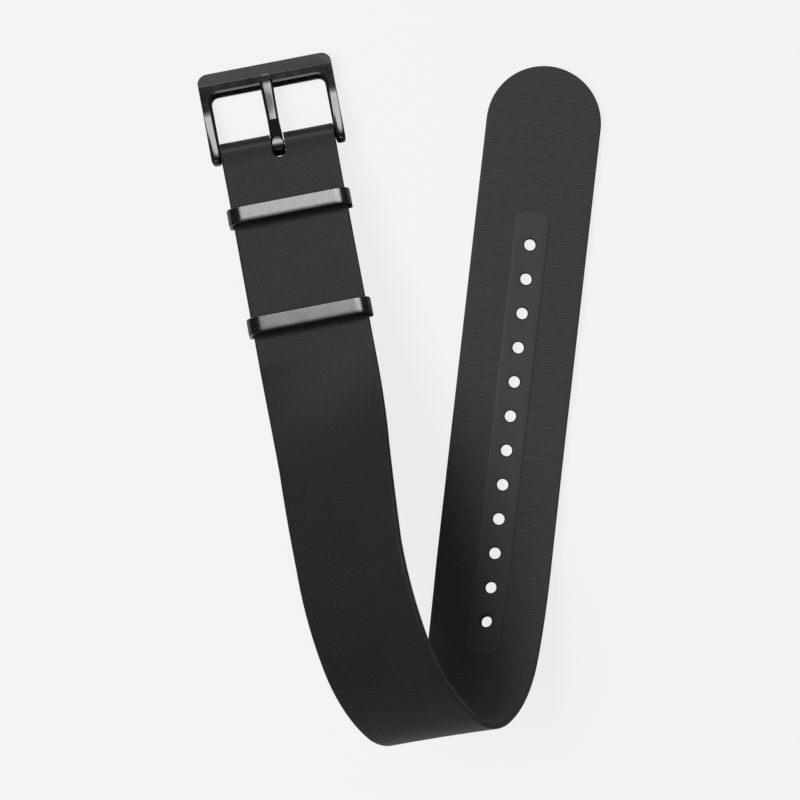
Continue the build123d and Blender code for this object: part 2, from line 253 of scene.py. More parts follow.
class FrameSettings(PropertyGroup):
    """Sizes of the buckle's frame, given from the bar's axis with the frame lying level."""

    pitch: angle("Pitch", "Turn of the frame up from the band", 11.2)
    inner_width: length("Inner width", "Width between the arms", 22.2)
    arm_width: length("Arm width", "Width of an arm", 1.9)
    arm_end: length("Arm end", "Radius of an arm's round end", 1.65)
    arm_flat_end: length("Arm crease", "Distance from the bar at which the arms start to rise", 8.5)
    arm_crown: length("Arm crown", "Doming across an arm's top", 0.17)
    arm_bow: length("Arm bow", "Doming along an arm's top", 0.11)
    reach: length("Reach", "Distance from the bar to the crossbar's outer edge", 16.2)
    crossbar: length("Crossbar", "Depth of the crossbar", 4.8)
    thickness: length("Thickness", "Thickness of the frame", 2.4)
    bevel_width: length("Bevel width", "Width of the crossbar's broad outer bevel", 2.4)
    bevel_drop: length("Bevel drop", "Drop of the broad outer bevel", 1.2)
    inner_bevel: length("Inner bevel", "Bevel along the crossbar's inner edge", 1.15)
    inner_lip: length("Inner lip", "Width of the bevel's shallow upper part", 0.38)
    arm_bevel: length("Arm bevel", "Inner bevel where an arm leaves the crossbar", 0.5)
    arm_end_bevel: length("Arm end bevel", "Inner bevel at an arm's end", 0.3)
    outer_corner: length("Outer corner", "Corner radius of the outline", 1.9)
    window_corner: length("Window corner", "Corner radius of the window", 1.4)
    edge: length("Edge", "Rounding of the frame's edges", 0.16)
    pivot_radius: length("Pivot hole", "Radius of the blind holes for the bar's pivots", 0.5)
    pivot_depth: length("Pivot depth", "Depth of the blind holes", 1.3)
    crown_inset: length("Crown inset", "Distance from the inner bevel to the domed top", 0.03)
    crease_softness: length("Crease softness", "Length of the blend on each side of an arm's crease", 0.8)
    narrow_start: length("Narrow start", "Distance behind the bar at which an arm's end narrows", 0.5)
    full_height: length("Full height", "Height at which the frame's edges have their full size", 1.6)


class TongueSettings(PropertyGroup):
    """Sizes of the tongue, given from the bar's axis with the frame lying level."""

    width: length("Width", "Width of the shank", 2.2)
    knuckle_width: length("Knuckle width", "Width of the knuckle", 2.4)
    root_width: length("Root width", "Width of the shank beside the knuckle", 2.36)
    tip_width: length("Tip width", "Width where the tip meets the crossbar", 2.5)
    end_width: length("End width", "Width of the tip's end", 1.7)
    thickness: length("Thickness", "Thickness of the shank", 0.95)
    tip_thickness: length("Tip thickness", "Thickness of the tip", 0.7)
    reach: length("Reach", "Distance from the bar to the tip", 13.95)
    tip_flat: length("Flat tip", "Length of the tip that lies on the crossbar", 1.6)
    tip_gap: length("Tip gap", "Gap between the tip and the crossbar", 0.03)
    crest_reach: length("Crest reach", "Distance from the bar to the arch's crest", 5.0)
    crest_height: length("Crest height", "Height of the arch's crest over the bar's axis", 1.75)
    root_height: length("Root height", "Height of the shank's top beside the boss", 0.9)
    boss_reach: length("Boss reach", "Reach of the round-nosed boss", 1.8)
    boss_angle: angle("Boss angle", "Slope of the boss's top", 11)
    bore: length("Bore", "Radius of the bore round the bar", 0.95)
    edge: length("Edge", "Rounding of the tongue's top edges", 0.7)
    tip_edge: length("Tip edge", "Rounding of the tip's top edges", 0.2)
    lower_edge: length("Lower edge", "Rounding of the tongue's lower edges", 0.08)
    tip_round: length("Tip rounding", "Length of the tip's rounded end", 0.2)
    crest_softness: length("Crest softness", "Length of the blend on each side of the crest", 0.2)
    knuckle_edge: length("Knuckle edge", "Rounding of the knuckle's sides", 0.2)
    nose_inset: length("Nose inset", "How far the boss's round nose is inside the knuckle", 0.03)
    boss_clearance: length("Boss clearance", "Least reach of the boss past its slope's start", 0.02)
    boss_edge: length("Boss edge", "Rounding of the boss's front edge", 0.1)
    wave: number("Wave", "Bow of the arch's slope, as a share of its fall", 0.044)


class KeeperSettings(PropertyGroup):
    """Sizes of the two keepers."""

    band: length("Band", "Width of a keeper along the strap", 3.2)
    side_wall: length("Side wall", "Thickness of a keeper's sides", 0.65)
    side_gap: length("Side gap", "Gap between a keeper and the strap's edge", 0.2)
    top_wall: length("Top wall", "Thickness of a keeper's top", 0.8)
    bottom_wall: length("Bottom wall", "Thickness of the bar in the pocket", 0.7)
    headroom: length("Headroom", "Room over the strap for the tail", 1.6)
    shoulder_reach: length("Shoulder reach", "Reach of a shoulder's curve along the top", 3.2)
    shoulder_drop: length("Shoulder drop", "Reach of a shoulder's curve down the side", 2.1)
    bottom_corner: length("Bottom corner", "Radius of a keeper's lower corners", 0.6)
    soft_edge: length("Soft edge", "Width of the top's rounded edge away from the buckle", 0.8)
    soft_drop: length("Soft drop", "Drop of the top's rounded edge away from the buckle", 0.09)
    crisp_edge: length("Crisp edge", "Rounding of the top edge towards the buckle", 0.28)
    lower_edge: length("Lower edge", "Rounding of the outer edges at a keeper's bottom", 0.16)
    inner_edge: length("Inner edge", "Rounding of the edges inside a keeper", 0.1)


class RubberSettings(PropertyGroup):
    """Colour, grain and wear of the rubber, with the shade and highlight painted on it; a tone is a factor
    on its colour.
    """

    rubber: colour("Rubber", "Colour of the rubber", (0.0188, 0.0188, 0.019))
    roughness: number("Roughness", "Roughness of the rubber", 0.55)
    smoother: number("Smoother", "How much smoother the grain's low places are", 0.06)
    rougher: number("Rougher", "How much rougher the grain's high places are", 0.08)
    specular: number("Specular level", "Strength of the rubber's mirror reflection", 0.45)
    sheen: number("Sheen", "Strength of the rubber's sheen", 0.06)
    sheen_roughness: number("Sheen roughness", "Roughness of the sheen", 0.4)
    patch_scale: number("Patch scale", "Scale of the faint patches of tone", 90, 10000)
    dark_patch: number("Dark patch", "Tone of a dark patch", 0.9, 10)
    pale_patch: number("Pale patch", "Tone of a pale patch", 1.08, 10)
    grain_scale: number("Grain scale", "Scale of the fine grain", 5200, 10000)
    grain_height: length("Grain height", "Height of the fine grain", 0.012)
    grain_strength: number("Grain strength", "Strength of the fine grain", 0.5)
    streak_scale: number("Streak scale", "Scale of the streaks that make the ribs uneven", 700, 10000)
    streak_squeeze: number("Streak squeeze", "How much shorter a streak is along the band", 8, 100)
    rib_wander: length("Rib wander", "How far the ribs wander along the band", 0.34)
    rib_pairing: number("Rib pairing", "How much every other rib is lower", 0.22)
    rib_unevenness: number("Rib unevenness", "Height of a rib where a streak lowers it", 0.5)
    lower_ribs: number("Lower ribs", "Height of the ribs on the tail's lower face", 0.35)
    fold_ribs: number("Fold ribs", "Height of the ribs on the fold", 0.3)
    rib_fade: length("Rib fade", "Distance before the bar at which the ribs start to fade", 4.5)
    rib_fade_end: length("Rib fade end", "Distance before the bar at which the ribs have faded", 2)
    # Painted shade: the grooves between the ribs are drawn darker
    groove_shade_tone: number("Groove tone", "Tone of the grooves between the ribs", 0.45, 10)
    groove_shade_share: number("Groove share", "How much of the groove's tone shows", 0.42)
    upper_tone: number("Upper tone", "Tone of the tail's upper face", 4.5, 10)
    upper_roughness: number("Upper roughness", "How much rougher the tail's upper face is", 0.3)
    face_blend: length("Face blend", "Height from the middle at which a face has its full look", 0.1)
    worn_tone: number("Worn tone", "Tone of the worn edges", 2.2, 10)
    worn_share: number("Worn share", "How much of the worn tone shows", 0.35)
    worn_start: length("Worn start", "Distance from the band's side at which the wear starts", 0.45)
    worn_full: length("Worn full", "Distance from the band's side at which the wear is full", 0.1)
    # Painted shade: a dark ring round each adjusting hole
    rim_shade_tone: number("Rim tone", "Tone of the rims round the adjusting holes", 0.7, 10)
    rim_shade_share: number("Rim share", "How much of the rim's tone shows", 0.75)
    rim_full: length("Rim full", "Distance from a hole up to which its rim is dark", 0.1)
    rim_end: length("Rim end", "Distance from a hole at which its rim ends", 0.3)
    # Painted highlight on the fold's crown and painted shade in the hollow behind it; the polish and dulling
    # change only roughness
    crown: places("Crown", "Where the fold's polished crown starts, is full and ends", (-0.1, 0.3, 2.6, 3.2))
    crown_highlight: number("Crown lift", "How much paler the polished crown is", 0.7)
    crown_polish: number("Crown polish", "How much smoother the polished crown is", 0.14)
    hollow: places("Hollow", "The same for the dull hollow behind the crown", (-3.4, -1, -0.7, -0.1))
    hollow_shade: number("Hollow fall", "How much darker the hollow is", 0.38)
    hollow_dulling: number("Hollow dulling", "How much rougher the hollow is", 0.05)


class FinishSettings(PropertyGroup):
    """Finish of the dark coated metal and of the bare spring bar."""

    coating: colour("Coating", "Reflected colour of the dark coating", (0.12, 0.12, 0.123))
    coating_roughness: number("Coating roughness", "Roughness of the dark coating", 0.17)
    bar_steel: colour("Bar steel", "Colour of the bare spring bar", (0.3, 0.3, 0.295))
    bar_roughness: number("Bar roughness", "Roughness of the bare spring bar", 0.3)
    edge_softness: length("Edge softness", "Softening of the metal's edges", 0.035)
    coating_scratches: length("Coating scratches", "Depth of the coating's grain", 0.004)
    bar_scratches: length("Bar scratches", "Depth of the spring bar's turned grain", 0.006)
    scratch_strength: number("Scratch strength", "Strength of the grain", 0.25)
    scratch_scale: number("Scratch scale", "Scale of the grain", 9000, 10000)
    scratch_stretch: number("Scratch stretch", "Scale of the grain along its run, as a share", 0.12)
    smudge_scale: number("Smudge scale", "Scale of the smudges", 420, 10000)
    fleck_scale: number("Fleck scale", "Scale of the flecks", 6000, 10000)
    dark_smudge: number("Dark smudge", "Tone of a dark smudge", 0.93, 10)
    pale_smudge: number("Pale smudge", "Tone of a pale smudge", 1.05, 10)
    worn_tone: number("Worn tone", "Tone of the worn corners", 2.0, 10)
    worn_share: number("Worn share", "How much of the worn tone shows", 0.4)
    polish: number("Polish", "How much smoother a clean place is", 0.03)
    dulling: number("Dulling", "How much rougher a smudge is", 0.06)
    fleck_dulling: number("Fleck dulling", "How much rougher a fleck is", 0.03)


class StageSettings(PropertyGroup):
    """Floor, lights and camera."""

    floor: colour("Floor", "Colour of the floor", (0.915, 0.907, 0.892))
    floor_roughness: number("Floor roughness", "Roughness of the floor", 0.9)
    floor_specular: number("Floor specular", "Strength of the floor's mirror reflection", 0.1)
    floor_plain: number("Plain floor", "Share of the floor that is plain to the camera", 0.86)
    floor_glow: number("Floor glow", "Strength of the plain share", 1.055, 10)
    floor_reach: length("Floor reach", "Distance from the middle to the floor's edge", 3000)
    floor_drop: length("Floor drop", "Distance of the floor under the strap", 0.05)
    camera_height: length("Camera height", "Height of the camera over the floor", 480)
    camera_spot: FloatVectorProperty(
        name="Camera spot",
        description="Point that the camera stands over",
        size=2,
        default=(-0.02142, -0.0559),
        unit="LENGTH",
    )
    camera_turn: angle("Camera turn", "Turn of the camera", 6.486)
    lens: number("Lens", "Focal length in millimetres", 112.27, 500)
    sensor: number("Sensor", "Width of the camera's sensor in millimetres", 36, 500)
    nearest: length("Nearest", "Nearest distance that the camera sees", 10)
    softbox: number("Softbox", "Radiance of the softbox to the north", 4.6, 100)
    fringe: number("Fringe", "Radiance of the softbox's dim southern edge", 1.1, 100)
    card: number("Card", "Radiance of the low card to the north", 0.46, 100)
    strip: number("Strip light", "Radiance of the strip light to the south", 1.8, 100)
    side: number("Side panel", "Radiance of the panel to the west", 5.4, 100)
    dome: number("Dome", "Strength of the dim dome", 0.08)


class Lay:
    """Where the band lies: a section for every distance from the tail's tip.

    A section is its middle, then the directions along the band, across it and out of the tail's upper face.
    """

    def __init__(self, band, fold):
        tip = (
            Vector((0, band.width / 2, band.thickness / 2)),
            Vector((0, -1, 0)),
            Vector((1, 0, 0)),
            Vector((0, 0, 1)),
        )
        stretches = [(band.tail, 0, 0)]
        for part, bend, twist in zip(band.loop_shares, band.loop_bends, band.loop_twists):
            stretches.append((part * band.loop, math.radians(bend), math.radians(twist)))
        stretches.append((band.doubled, 0, 0))
        self.bar_distance = band.tail + sum(band.loop_shares) * band.loop + band.doubled
        self.fold_length = math.pi * (fold.bore_radius + band.thickness / 2)
        stretches.append((self.fold_length, math.pi, 0))
        self.starts = []
        distance = 0
        section = tip
        for run, bend, twist in stretches:
            self.starts.append((distance, section, run, bend, twist))
            section = self.carried(section, run, bend, twist)
            distance += run
        self.end = distance
        end = self.at(self.bar_distance)
        self.bar = end[0] + end[3] * (fold.bore_radius + band.thickness / 2)
        self.across = end[2]
        self.forward = end[1]
        self.front = -end[3]

    @staticmethod
    def carried(section, run, bend, twist):
        """A section carried along a stretch of constant bend and twist, a helical arc."""
        middle, along, across, out = section
        turn = -across * bend - along * twist
        angle = turn.length
        if angle < TINY:
            return middle + along * run, along, across, out
        axis = turn / angle
        straight = axis * along.dot(axis)
        square = along - straight
        aside = axis.cross(square)
        travel = straight + square * (math.sin(angle) / angle) + aside * ((1 - math.cos(angle)) / angle)
        spin = Quaternion(axis, angle)
        return middle + travel * run, spin @ along, spin @ across, spin @ out

    def at(self, distance):
        """The section at a distance from the tip."""
        for start, section, run, bend, twist in reversed(self.starts):
            if distance >= start - TINY:
                part = (distance - start) / run
                return self.carried(section, run * part, bend * part, twist * part)
        return self.carried(self.starts[0][1], distance, 0, 0)

    def point(self, distance, aside, height):
        """A point of the unrolled band, put where it lies."""
        middle, _, across, out = self.at(distance)
        return middle + across * aside + out * height

    def end_point(self, forward, aside, front):
        """A point given from the bar's axis: towards the crossbar, along the bar and out of the front."""
        return self.bar + self.forward * forward + self.across * aside + self.front * front


class Shell:
    """A closed sheet of rubber, built unrolled and then laid out."""

    def __init__(self, lay):
        self.lay = lay
        self.flat = []
        self.faces = []

    def point(self, distance, aside, height):
        self.flat.append((aside, distance, height))
        return len(self.flat) - 1

    def bridge(self, one, other, closed=False):
        """Faces between two equally long runs of points."""
        count = len(one)
        for k in range(count if closed else count - 1):
            n = (k + 1) % count
            self.faces.append([one[k], one[n], other[n], other[k]])

    def skin(self, runs):
        """Faces between each run of points and the next."""
        for one, other in zip(runs, runs[1:]):
            self.bridge(one, other)

    def cover(self, grid, cut):
        """Faces over a grid of points, apart from the cells that are cut out."""
        for row in range(len(grid) - 1):
            one, other = grid[row], grid[row + 1]
            for col in range(len(one) - 1):
                if (row, col) not in cut:
                    self.faces.append([one[col], one[col + 1], other[col + 1], other[col]])

    def ring(self, outline, centre, radius, height):
        """Points on a circle round a hole, each facing its point of an outline."""
        ring = []
        for k in outline:
            aside, distance, _ = self.flat[k]
            angle = math.atan2(aside, distance - centre)
            ring.append(self.point(centre + radius * math.cos(angle), radius * math.sin(angle), height))
        return ring

    def build(self, name, material):
        """The mesh object, with each point's place on the unrolled band kept for the material."""
        mesh = bpy.data.meshes.new(name)
        mesh.from_pydata([self.lay.point(d, a, h) for a, d, h in self.flat], [], self.faces)
        keep = mesh.attributes.new("unrolled", "FLOAT_VECTOR", "POINT")
        keep.data.foreach_set("vector", [value for point in self.flat for value in point])
        return finished(name, mesh, material)


def finished(name, mesh, material, angle=CREASE_ANGLE):
    """An object from a mesh: outward faces, smooth but for its corners."""
    work = bmesh.new()
    work.from_mesh(mesh)
    bmesh.ops.delete(work, geom=[v for v in work.verts if not v.link_faces], context="VERTS")
    bmesh.ops.recalc_face_normals(work, faces=work.faces)
    for face in work.faces:
        face.smooth = True
    work.to_mesh(mesh)
    work.free()
    mesh.set_sharp_from_angle(angle=angle)
    mesh.materials.append(material)
    piece = bpy.data.objects.new(name, mesh)
    bpy.context.scene.collection.objects.link(piece)
    return piece


def edge_arcs(width, thickness, radius, steps=4):
    """The rounded edge of a section, from its upper to its lower face, as pairs of aside and height."""
    points = []
    for corner, start in ((thickness / 2 - radius, QUARTER), (radius - thickness / 2, 0)):
        for k in range(steps + 1):
            angle = start - k / steps * QUARTER
            points.append((width / 2 - radius + radius * math.cos(angle), corner + radius * math.sin(angle)))
    return points[1:-1]


def spread(start, stop, step):
    """Evenly spread distances from start up to stop, which is left out."""
    count = max(1, round((stop - start) / step))
    return [start + (stop - start) * k / count for k in range(count)]


def hole_distances(band):
    """Distances of the adjusting holes from the tip."""
    return [band.first_hole + k * band.hole_pitch for k in range(band.hole_count)]


def hole_rows(start, stop, holes):
    """Distances of rows from start up to stop, finer round each hole."""
    rows = []
    for hole in holes:
        rows += spread(start, hole - HOLE_PATCH, ROW_STEP)
        rows += spread(hole - HOLE_PATCH, hole + HOLE_PATCH, HOLE_PATCH / PATCH_CELLS)
        start = hole + HOLE_PATCH
    return rows + spread(start, stop, ROW_STEP)


def patch_spans(rows, holes):
    """First row, last row and distance of the fine patch round each hole."""
    spans = []
    for hole in holes:
        first = min(range(len(rows)), key=lambda k: abs(rows[k] - (hole - HOLE_PATCH)))
        spans.append((first, first + 2 * PATCH_CELLS, hole))
    return spans


def patch_cells(spans, middle):
    """The grid's cells that the holes' patches take up."""
    columns = range(middle - PATCH_CELLS, middle + PATCH_CELLS)
    return {(row, col) for first, last, _ in spans for row in range(first, last) for col in columns}


def patch_border(grid, first, last, middle):
    """The closed run of grid points round a hole's patch."""
    low, high = middle - PATCH_CELLS, middle + PATCH_CELLS
    border = [grid[first][col] for col in range(low, high)]
    border += [grid[row][high] for row in range(first, last)]
    border += [grid[last][col] for col in range(high, low, -1)]
    border += [grid[row][low] for row in range(last, first, -1)]
    return border


def mirrored_columns(columns):
    """Columns on both sides of the middle, from those on one side."""
    return [-aside for aside in reversed(columns[1:])] + columns


def slot_half_width(fold, lay, slot_start, distance):
    """Half the width of the tongue's slot: round at its end, wider at the front of the fold."""
    into = min(1, (distance - slot_start) / fold.slot_corner)
    half = fold.slot_width / 2 - fold.slot_corner * (1 - math.sqrt(1 - (1 - into) ** 2))
    front = lay.bar_distance + lay.fold_length / 2
    away = abs(distance - front) / (lay.fold_length / 4)
    return half + fold.slot_mouth * max(0, 1 - away) ** 2


def round_tip(shell, band, columns, arc, first_row):
    """The tail's round tip, swung from the right half of the first row over to the left half."""
    upper, lower, right, left = first_row
    half = band.thickness / 2
    middle = len(columns) // 2
    beside = columns[middle + 1 :]
    profile = [(aside, half) for aside in beside] + arc + [(aside, -half) for aside in reversed(beside)]
    fans = [upper[middle + 1 :] + right + lower[:middle:-1]]
    for step in range(1, TIP_STEPS):
        angle = math.pi * step / TIP_STEPS
        fan = []
        for away, height in profile:
            fan.append(shell.point(band.width / 2 - away * math.sin(angle), away * math.cos(angle), height))
        fans.append(fan)
    fans.append(upper[:middle][::-1] + left + lower[:middle])
    shell.skin(fans)
    for one, other in zip(fans, fans[1:]):
        shell.faces.append([upper[middle], one[0], other[0]])
        shell.faces.append([lower[middle], one[-1], other[-1]])


def build_band(band, fold, lay, material):
    """The band itself: round tip, tail with its holes, loop, front of the doubled end and the fold."""
    shell = Shell(lay)
    half = band.thickness / 2
    rest = band.width / 2 - band.edge_radius - HOLE_PATCH
    columns = [HOLE_PATCH * k / PATCH_CELLS for k in range(PATCH_CELLS)]
    columns = mirrored_columns(columns + [HOLE_PATCH + rest * share for share in COLUMN_SHARES])
    middle = len(columns) // 2
    arc = edge_arcs(band.width, band.thickness, band.edge_radius)

    holes = hole_distances(band)
    doubled_start = lay.bar_distance - band.doubled
    slot_start = lay.bar_distance - fold.slot_reach
    rows = hole_rows(band.width / 2, doubled_start, holes)
    rows += spread(doubled_start, slot_start, 2 * ROW_STEP)
    slot_row = len(rows)
    rows += [slot_start + fold.slot_corner * share for share in SLOT_CORNER_SHARES]
    rows += spread(slot_start + fold.slot_corner, lay.bar_distance, SLOT_STEP)
    rows += spread(lay.bar_distance, lay.end, FOLD_STEP) + [lay.end]

    upper, lower, right, left = [], [], [], []
    for row, distance in enumerate(rows):
        asides = list(columns)
        if row >= slot_row:
            open_half = slot_half_width(fold, lay, slot_start, distance)
            for k in range(-SLOT_CELLS, SLOT_CELLS + 1):
                asides[middle + k] = fold.slot_shift + open_half * k / SLOT_CELLS
        flare = fold.flare * eased(distance, lay.bar_distance - fold.flare_run, lay.bar_distance)
        asides[0] -= flare
        asides[-1] += flare
        upper.append([shell.point(distance, aside, half) for aside in asides])
        lower.append([shell.point(distance, aside, -half) for aside in asides])
        right.append([shell.point(distance, aside + flare, height) for aside, height in arc])
        left.append([shell.point(distance, -aside - flare, height) for aside, height in arc])

    start, stop = middle - SLOT_CELLS, middle + SLOT_CELLS
    spans = patch_spans(rows, holes)
    cut = patch_cells(spans, middle)
    cut.update((row, col) for row in range(slot_row, len(rows) - 1) for col in range(start, stop))
    shell.cover(upper, cut)
    shell.cover(lower, cut)
    for side, end in ((right, -1), (left, 0)):
        shell.skin([[top[end]] + edge + [low[end]] for top, edge, low in zip(upper, side, lower)])

    radius = band.hole_diameter / 2
    for first, last, hole in spans:
        above = patch_border(upper, first, last, middle)
        below = patch_border(lower, first, last, middle)
        top = shell.ring(above, hole, radius, half)
        low = shell.ring(below, hole, radius + band.hole_rim, -half)
        inside = shell.ring(below, hole, radius, band.hole_rim - half)
        for one, other in ((above, top), (below, low), (low, inside), (inside, top)):
            shell.bridge(one, other, closed=True)

    walls = []
    for grid in (upper, lower):
        wall = [grid[row][start] for row in range(len(rows) - 1, slot_row, -1)]
        wall += [grid[slot_row][col] for col in range(start, stop)]
        wall += [grid[row][stop] for row in range(slot_row, len(rows))]
        walls.append(wall)
    shell.skin(walls)

    for first, last, side, end in ((0, start, left, 0), (stop, len(columns) - 1, right, -1)):
        shell.bridge(upper[-1][first : last + 1], lower[-1][first : last + 1])
        shell.faces.append([upper[-1][end]] + side[-1] + [lower[-1][end]])
    round_tip(shell, band, columns, arc, (upper[0], lower[0], right[0], left[0]))
    return shell.build("strap_band", material)


def strip_rows(band, start, stop, holes):
    """Rows of the strip, each the place and half width of its top, then of its foot."""
    slope, corner = band.strip_slope, band.strip_corner
    wide = band.strip_width / 2
    near = []
    for k in range(CORNER_STEPS + 1):
        angle = k / CORNER_STEPS * QUARTER
        back, out = 1 - math.cos(angle), math.sin(angle)
        top = (start + slope + (corner - slope) * back, wide - corner + (corner - slope) * out)
        near.append((*top, start + corner * back, wide - corner + corner * out))
    far = [(start + stop - a, b, start + stop - c, d) for a, b, c, d in reversed(near)]
    between = hole_rows(start + corner + HOLE_PATCH / PATCH_CELLS, stop - corner, holes)
    return near + [(distance, wide - slope, distance, wide) for distance in between] + far


def build_strip(band, lay, material):
    """The smooth strip round the holes, raised on the tail with sloping edges and round corners."""
    shell = Shell(lay)
    top = band.thickness / 2 + band.strip_relief
    shoulder = top - band.strip_relief * SHOULDER_DROP_SHARE
    foot = band.thickness / 2 - band.strip_seat
    full = band.strip_width / 2 - band.strip_slope
    columns = [HOLE_PATCH * k / PATCH_CELLS for k in range(PATCH_CELLS + 1)]
    columns = mirrored_columns(columns + [(HOLE_PATCH + full) / 2, full])
    middle = len(columns) // 2
    holes = hole_distances(band)
    rows = strip_rows(band, holes[0] - band.strip_margin, holes[-1] + band.strip_margin, holes)

    upper, lower, edges = [], [], []
    for near, half, out, edge in rows:
        if abs(near - out) > TINY:
            spots = [aside * edge / full for aside in columns]
        else:
            spots = [-edge] + columns[1:-1] + [edge]
        upper.append([shell.point(near, aside * half / full, top) for aside in columns])
        lower.append([shell.point(out, aside, foot) for aside in spots])
        place = near + (out - near) * SHOULDER_SHARE
        reach = half + (edge - half) * SHOULDER_SHARE
        edges.append([shell.point(place, -reach, shoulder), shell.point(place, reach, shoulder)])
    spans = patch_spans([row[0] for row in rows], holes)
    cut = patch_cells(spans, middle)
    shell.cover(upper, cut)
    shell.cover(lower, cut)
    for end in (0, -1):
        shell.skin([[high[end], edge[end], low[end]] for high, edge, low in zip(upper, edges, lower)])
        near, half, out, _ = rows[end]
        place = near + (out - near) * SHOULDER_SHARE
        brow = [shell.point(place, aside * half / full, shoulder) for aside in columns[1:-1]]
        shell.skin([upper[end], [edges[end][0]] + brow + [edges[end][1]], lower[end]])

    radius = band.hole_diameter / 2
    for first, last, hole in spans:
        above = patch_border(upper, first, last, middle)
        below = patch_border(lower, first, last, middle)
        before = above
        for grow, drop in HOLE_MOUTH_SHARES:
            height = top - drop * band.hole_mouth_depth
            ring = shell.ring(above, hole, radius + grow * band.hole_mouth, height)
            shell.bridge(before, ring, closed=True)
            before = ring
        under = shell.ring(below, hole, radius, foot)
        shell.bridge(before, under, closed=True)
        shell.bridge(under, below, closed=True)
    return shell.build("hole_strip", material)


def rounded(points, steps=4):
    """A closed outline from its corners, each given with its radius."""
    result = []
    count = len(points)
    for k in range(count):
        here = Vector(points[k][:2])
        radius = points[k][2]
        back = Vector(points[k - 1][:2]) - here
        ahead = Vector(points[(k + 1) % count][:2]) - here
        turn = back.angle(ahead)
        reach = min(radius / math.tan(turn / 2), back.length * SIDE_SHARE, ahead.length * SIDE_SHARE)
        if reach < TINY or abs(turn - math.pi) < STRAIGHT_ANGLE:
            result.append(tuple(here))
            continue
        one = here + back.normalized() * reach
        two = here + ahead.normalized() * reach
        real = reach * math.tan(turn / 2)
        bisector = (back.normalized() + ahead.normalized()).normalized()
        centre = here + bisector * math.hypot(reach, real)
        first = one - centre
        sweep = first.angle_signed(two - centre)
        for n in range(steps + 1):
            result.append(tuple(centre + Matrix.Rotation(-sweep * n / steps, 2) @ first))
    return result


def loops_to_piece(name, loops, material, ring=False, angle=CREASE_ANGLE):
    """A closed skin over equally long closed loops of points: capped, or joined up as a ring."""
    points, faces = [], []
    count = len(loops[0])
    for loop in loops:
        points += loop
    for row in range(len(loops) if ring else len(loops) - 1):
        a, b = row * count, (row + 1) % len(loops) * count
        for k in range(count):
            n = (k + 1) % count
            faces.append([a + k, a + n, b + n, b + k])
    if not ring:
        faces.append(list(range(count)))
        faces.append([(len(loops) - 1) * count + k for k in range(count)])
    mesh = bpy.data.meshes.new(name)
    mesh.from_pydata(points, [], faces)
    return finished(name, mesh, material, angle)


def run_through(name, outline, place, stations, material):
    """A closed piece: an outline run through several stations."""
    loops = [[place(x, station, y) for x, y in outline] for station in stations]
    return loops_to_piece(name, loops, material)


def apply_modifiers(piece):
    """Turns an object's modifiers into its mesh."""
    bpy.context.view_layer.update()
    graph = bpy.context.evaluated_depsgraph_get()
    mesh = bpy.data.meshes.new_from_object(piece.evaluated_get(graph))
    piece.modifiers.clear()
    piece.data = mesh


def bevelled(piece, width, segments=3):
    """Rounds an object's corners."""
    bevel = piece.modifiers.new("round", "BEVEL")
    bevel.width = width
    bevel.segments = segments
    bevel.limit_method = "ANGLE"
    bevel.angle_limit = BEVEL_ANGLE
    bevel.harden_normals = False
    apply_modifiers(piece)
    for face in piece.data.polygons:
        face.use_smooth = True
    piece.data.set_sharp_from_angle(angle=CREASE_ANGLE)


def weighted(piece):
    """Lets the broad faces keep their own direction beside narrow rounded ones."""
    weigh = piece.modifiers.new("weigh", "WEIGHTED_NORMAL")
    weigh.keep_sharp = True
    apply_modifiers(piece)
    return piece


def flap_outline(band, fold):
    """The flap from the side: the fold's back, its slope, the pockets, the thinned tip and the bore."""
    level = fold.bore_radius - fold.flap_thickness
    radius = fold.bore_radius + band.thickness
    seat = fold.bore_radius + fold.bond
    floor = fold.bore_radius - fold.pocket_height
    bulge = level - fold.pocket_height
    half = fold.pocket_length / 2
    rise = fold.pocket_height
    keepers = (fold.near_keeper, fold.near_keeper + fold.keeper_spacing)
    points = [
        (0, -radius, 0),
        (-fold.crown_run, fold.crown_drop - radius, 0),
        (-fold.slope_run, level, fold.slope_blend),
    ]
    for keeper in keepers:
        points += [
            (-keeper + half + rise, level, fold.pocket_blend),
            (-keeper + half, bulge, fold.pocket_corner),
            (-keeper - half, bulge, fold.pocket_corner),
            (-keeper - half - rise, level, fold.pocket_blend),
        ]
    points.append((-fold.flap_length + fold.flap_taper, level, fold.tip_blend))
    points.append((-fold.flap_length, seat - fold.tip_height, fold.tip_corner))
    points.append((-fold.flap_length, seat, 0))
    for keeper in reversed(keepers):
        points += [
            (-keeper - half, seat, 0),
            (-keeper - half, floor, fold.soft_corner),
            (-keeper + half, floor, fold.soft_corner),
            (-keeper + half, seat, 0),
        ]
    for k in range(BORE_STEPS + 1):
        angle = QUARTER + math.pi * k / BORE_STEPS
        points.append((seat * math.cos(angle), seat * math.sin(angle), 0))
    return rounded(points)


def build_flap(band, fold, lay, material):
    """The bonded flap behind the band, with the tongue's slot cut out of the fold."""
    side = band.width / 2 - fold.side_inset
    piece = run_through("bonded_flap", flap_outline(band, fold), lay.end_point, [-side, side], material)
    reach = fold.slot_reach + fold.slot_relief
    left, right = fold.slot_shift - fold.slot_width / 2, fold.slot_shift + fold.slot_width / 2
    corner = fold.slot_corner
    plan = rounded(
        [(-reach, left, corner), (-reach, right, corner), (OVERRUN, right, 0), (OVERRUN, left, 0)]
    )
    radius = fold.bore_radius + band.thickness
    stations = [-radius - OVERRUN, radius]
    cutter = run_through("slot_cutter", plan, lambda x, z, y: lay.end_point(x, y, z), stations, material)
    carved(piece, [cutter])
    bevelled(piece, fold.flap_edge)
    weighted(piece)
    mark_end(piece, lay)
    return piece


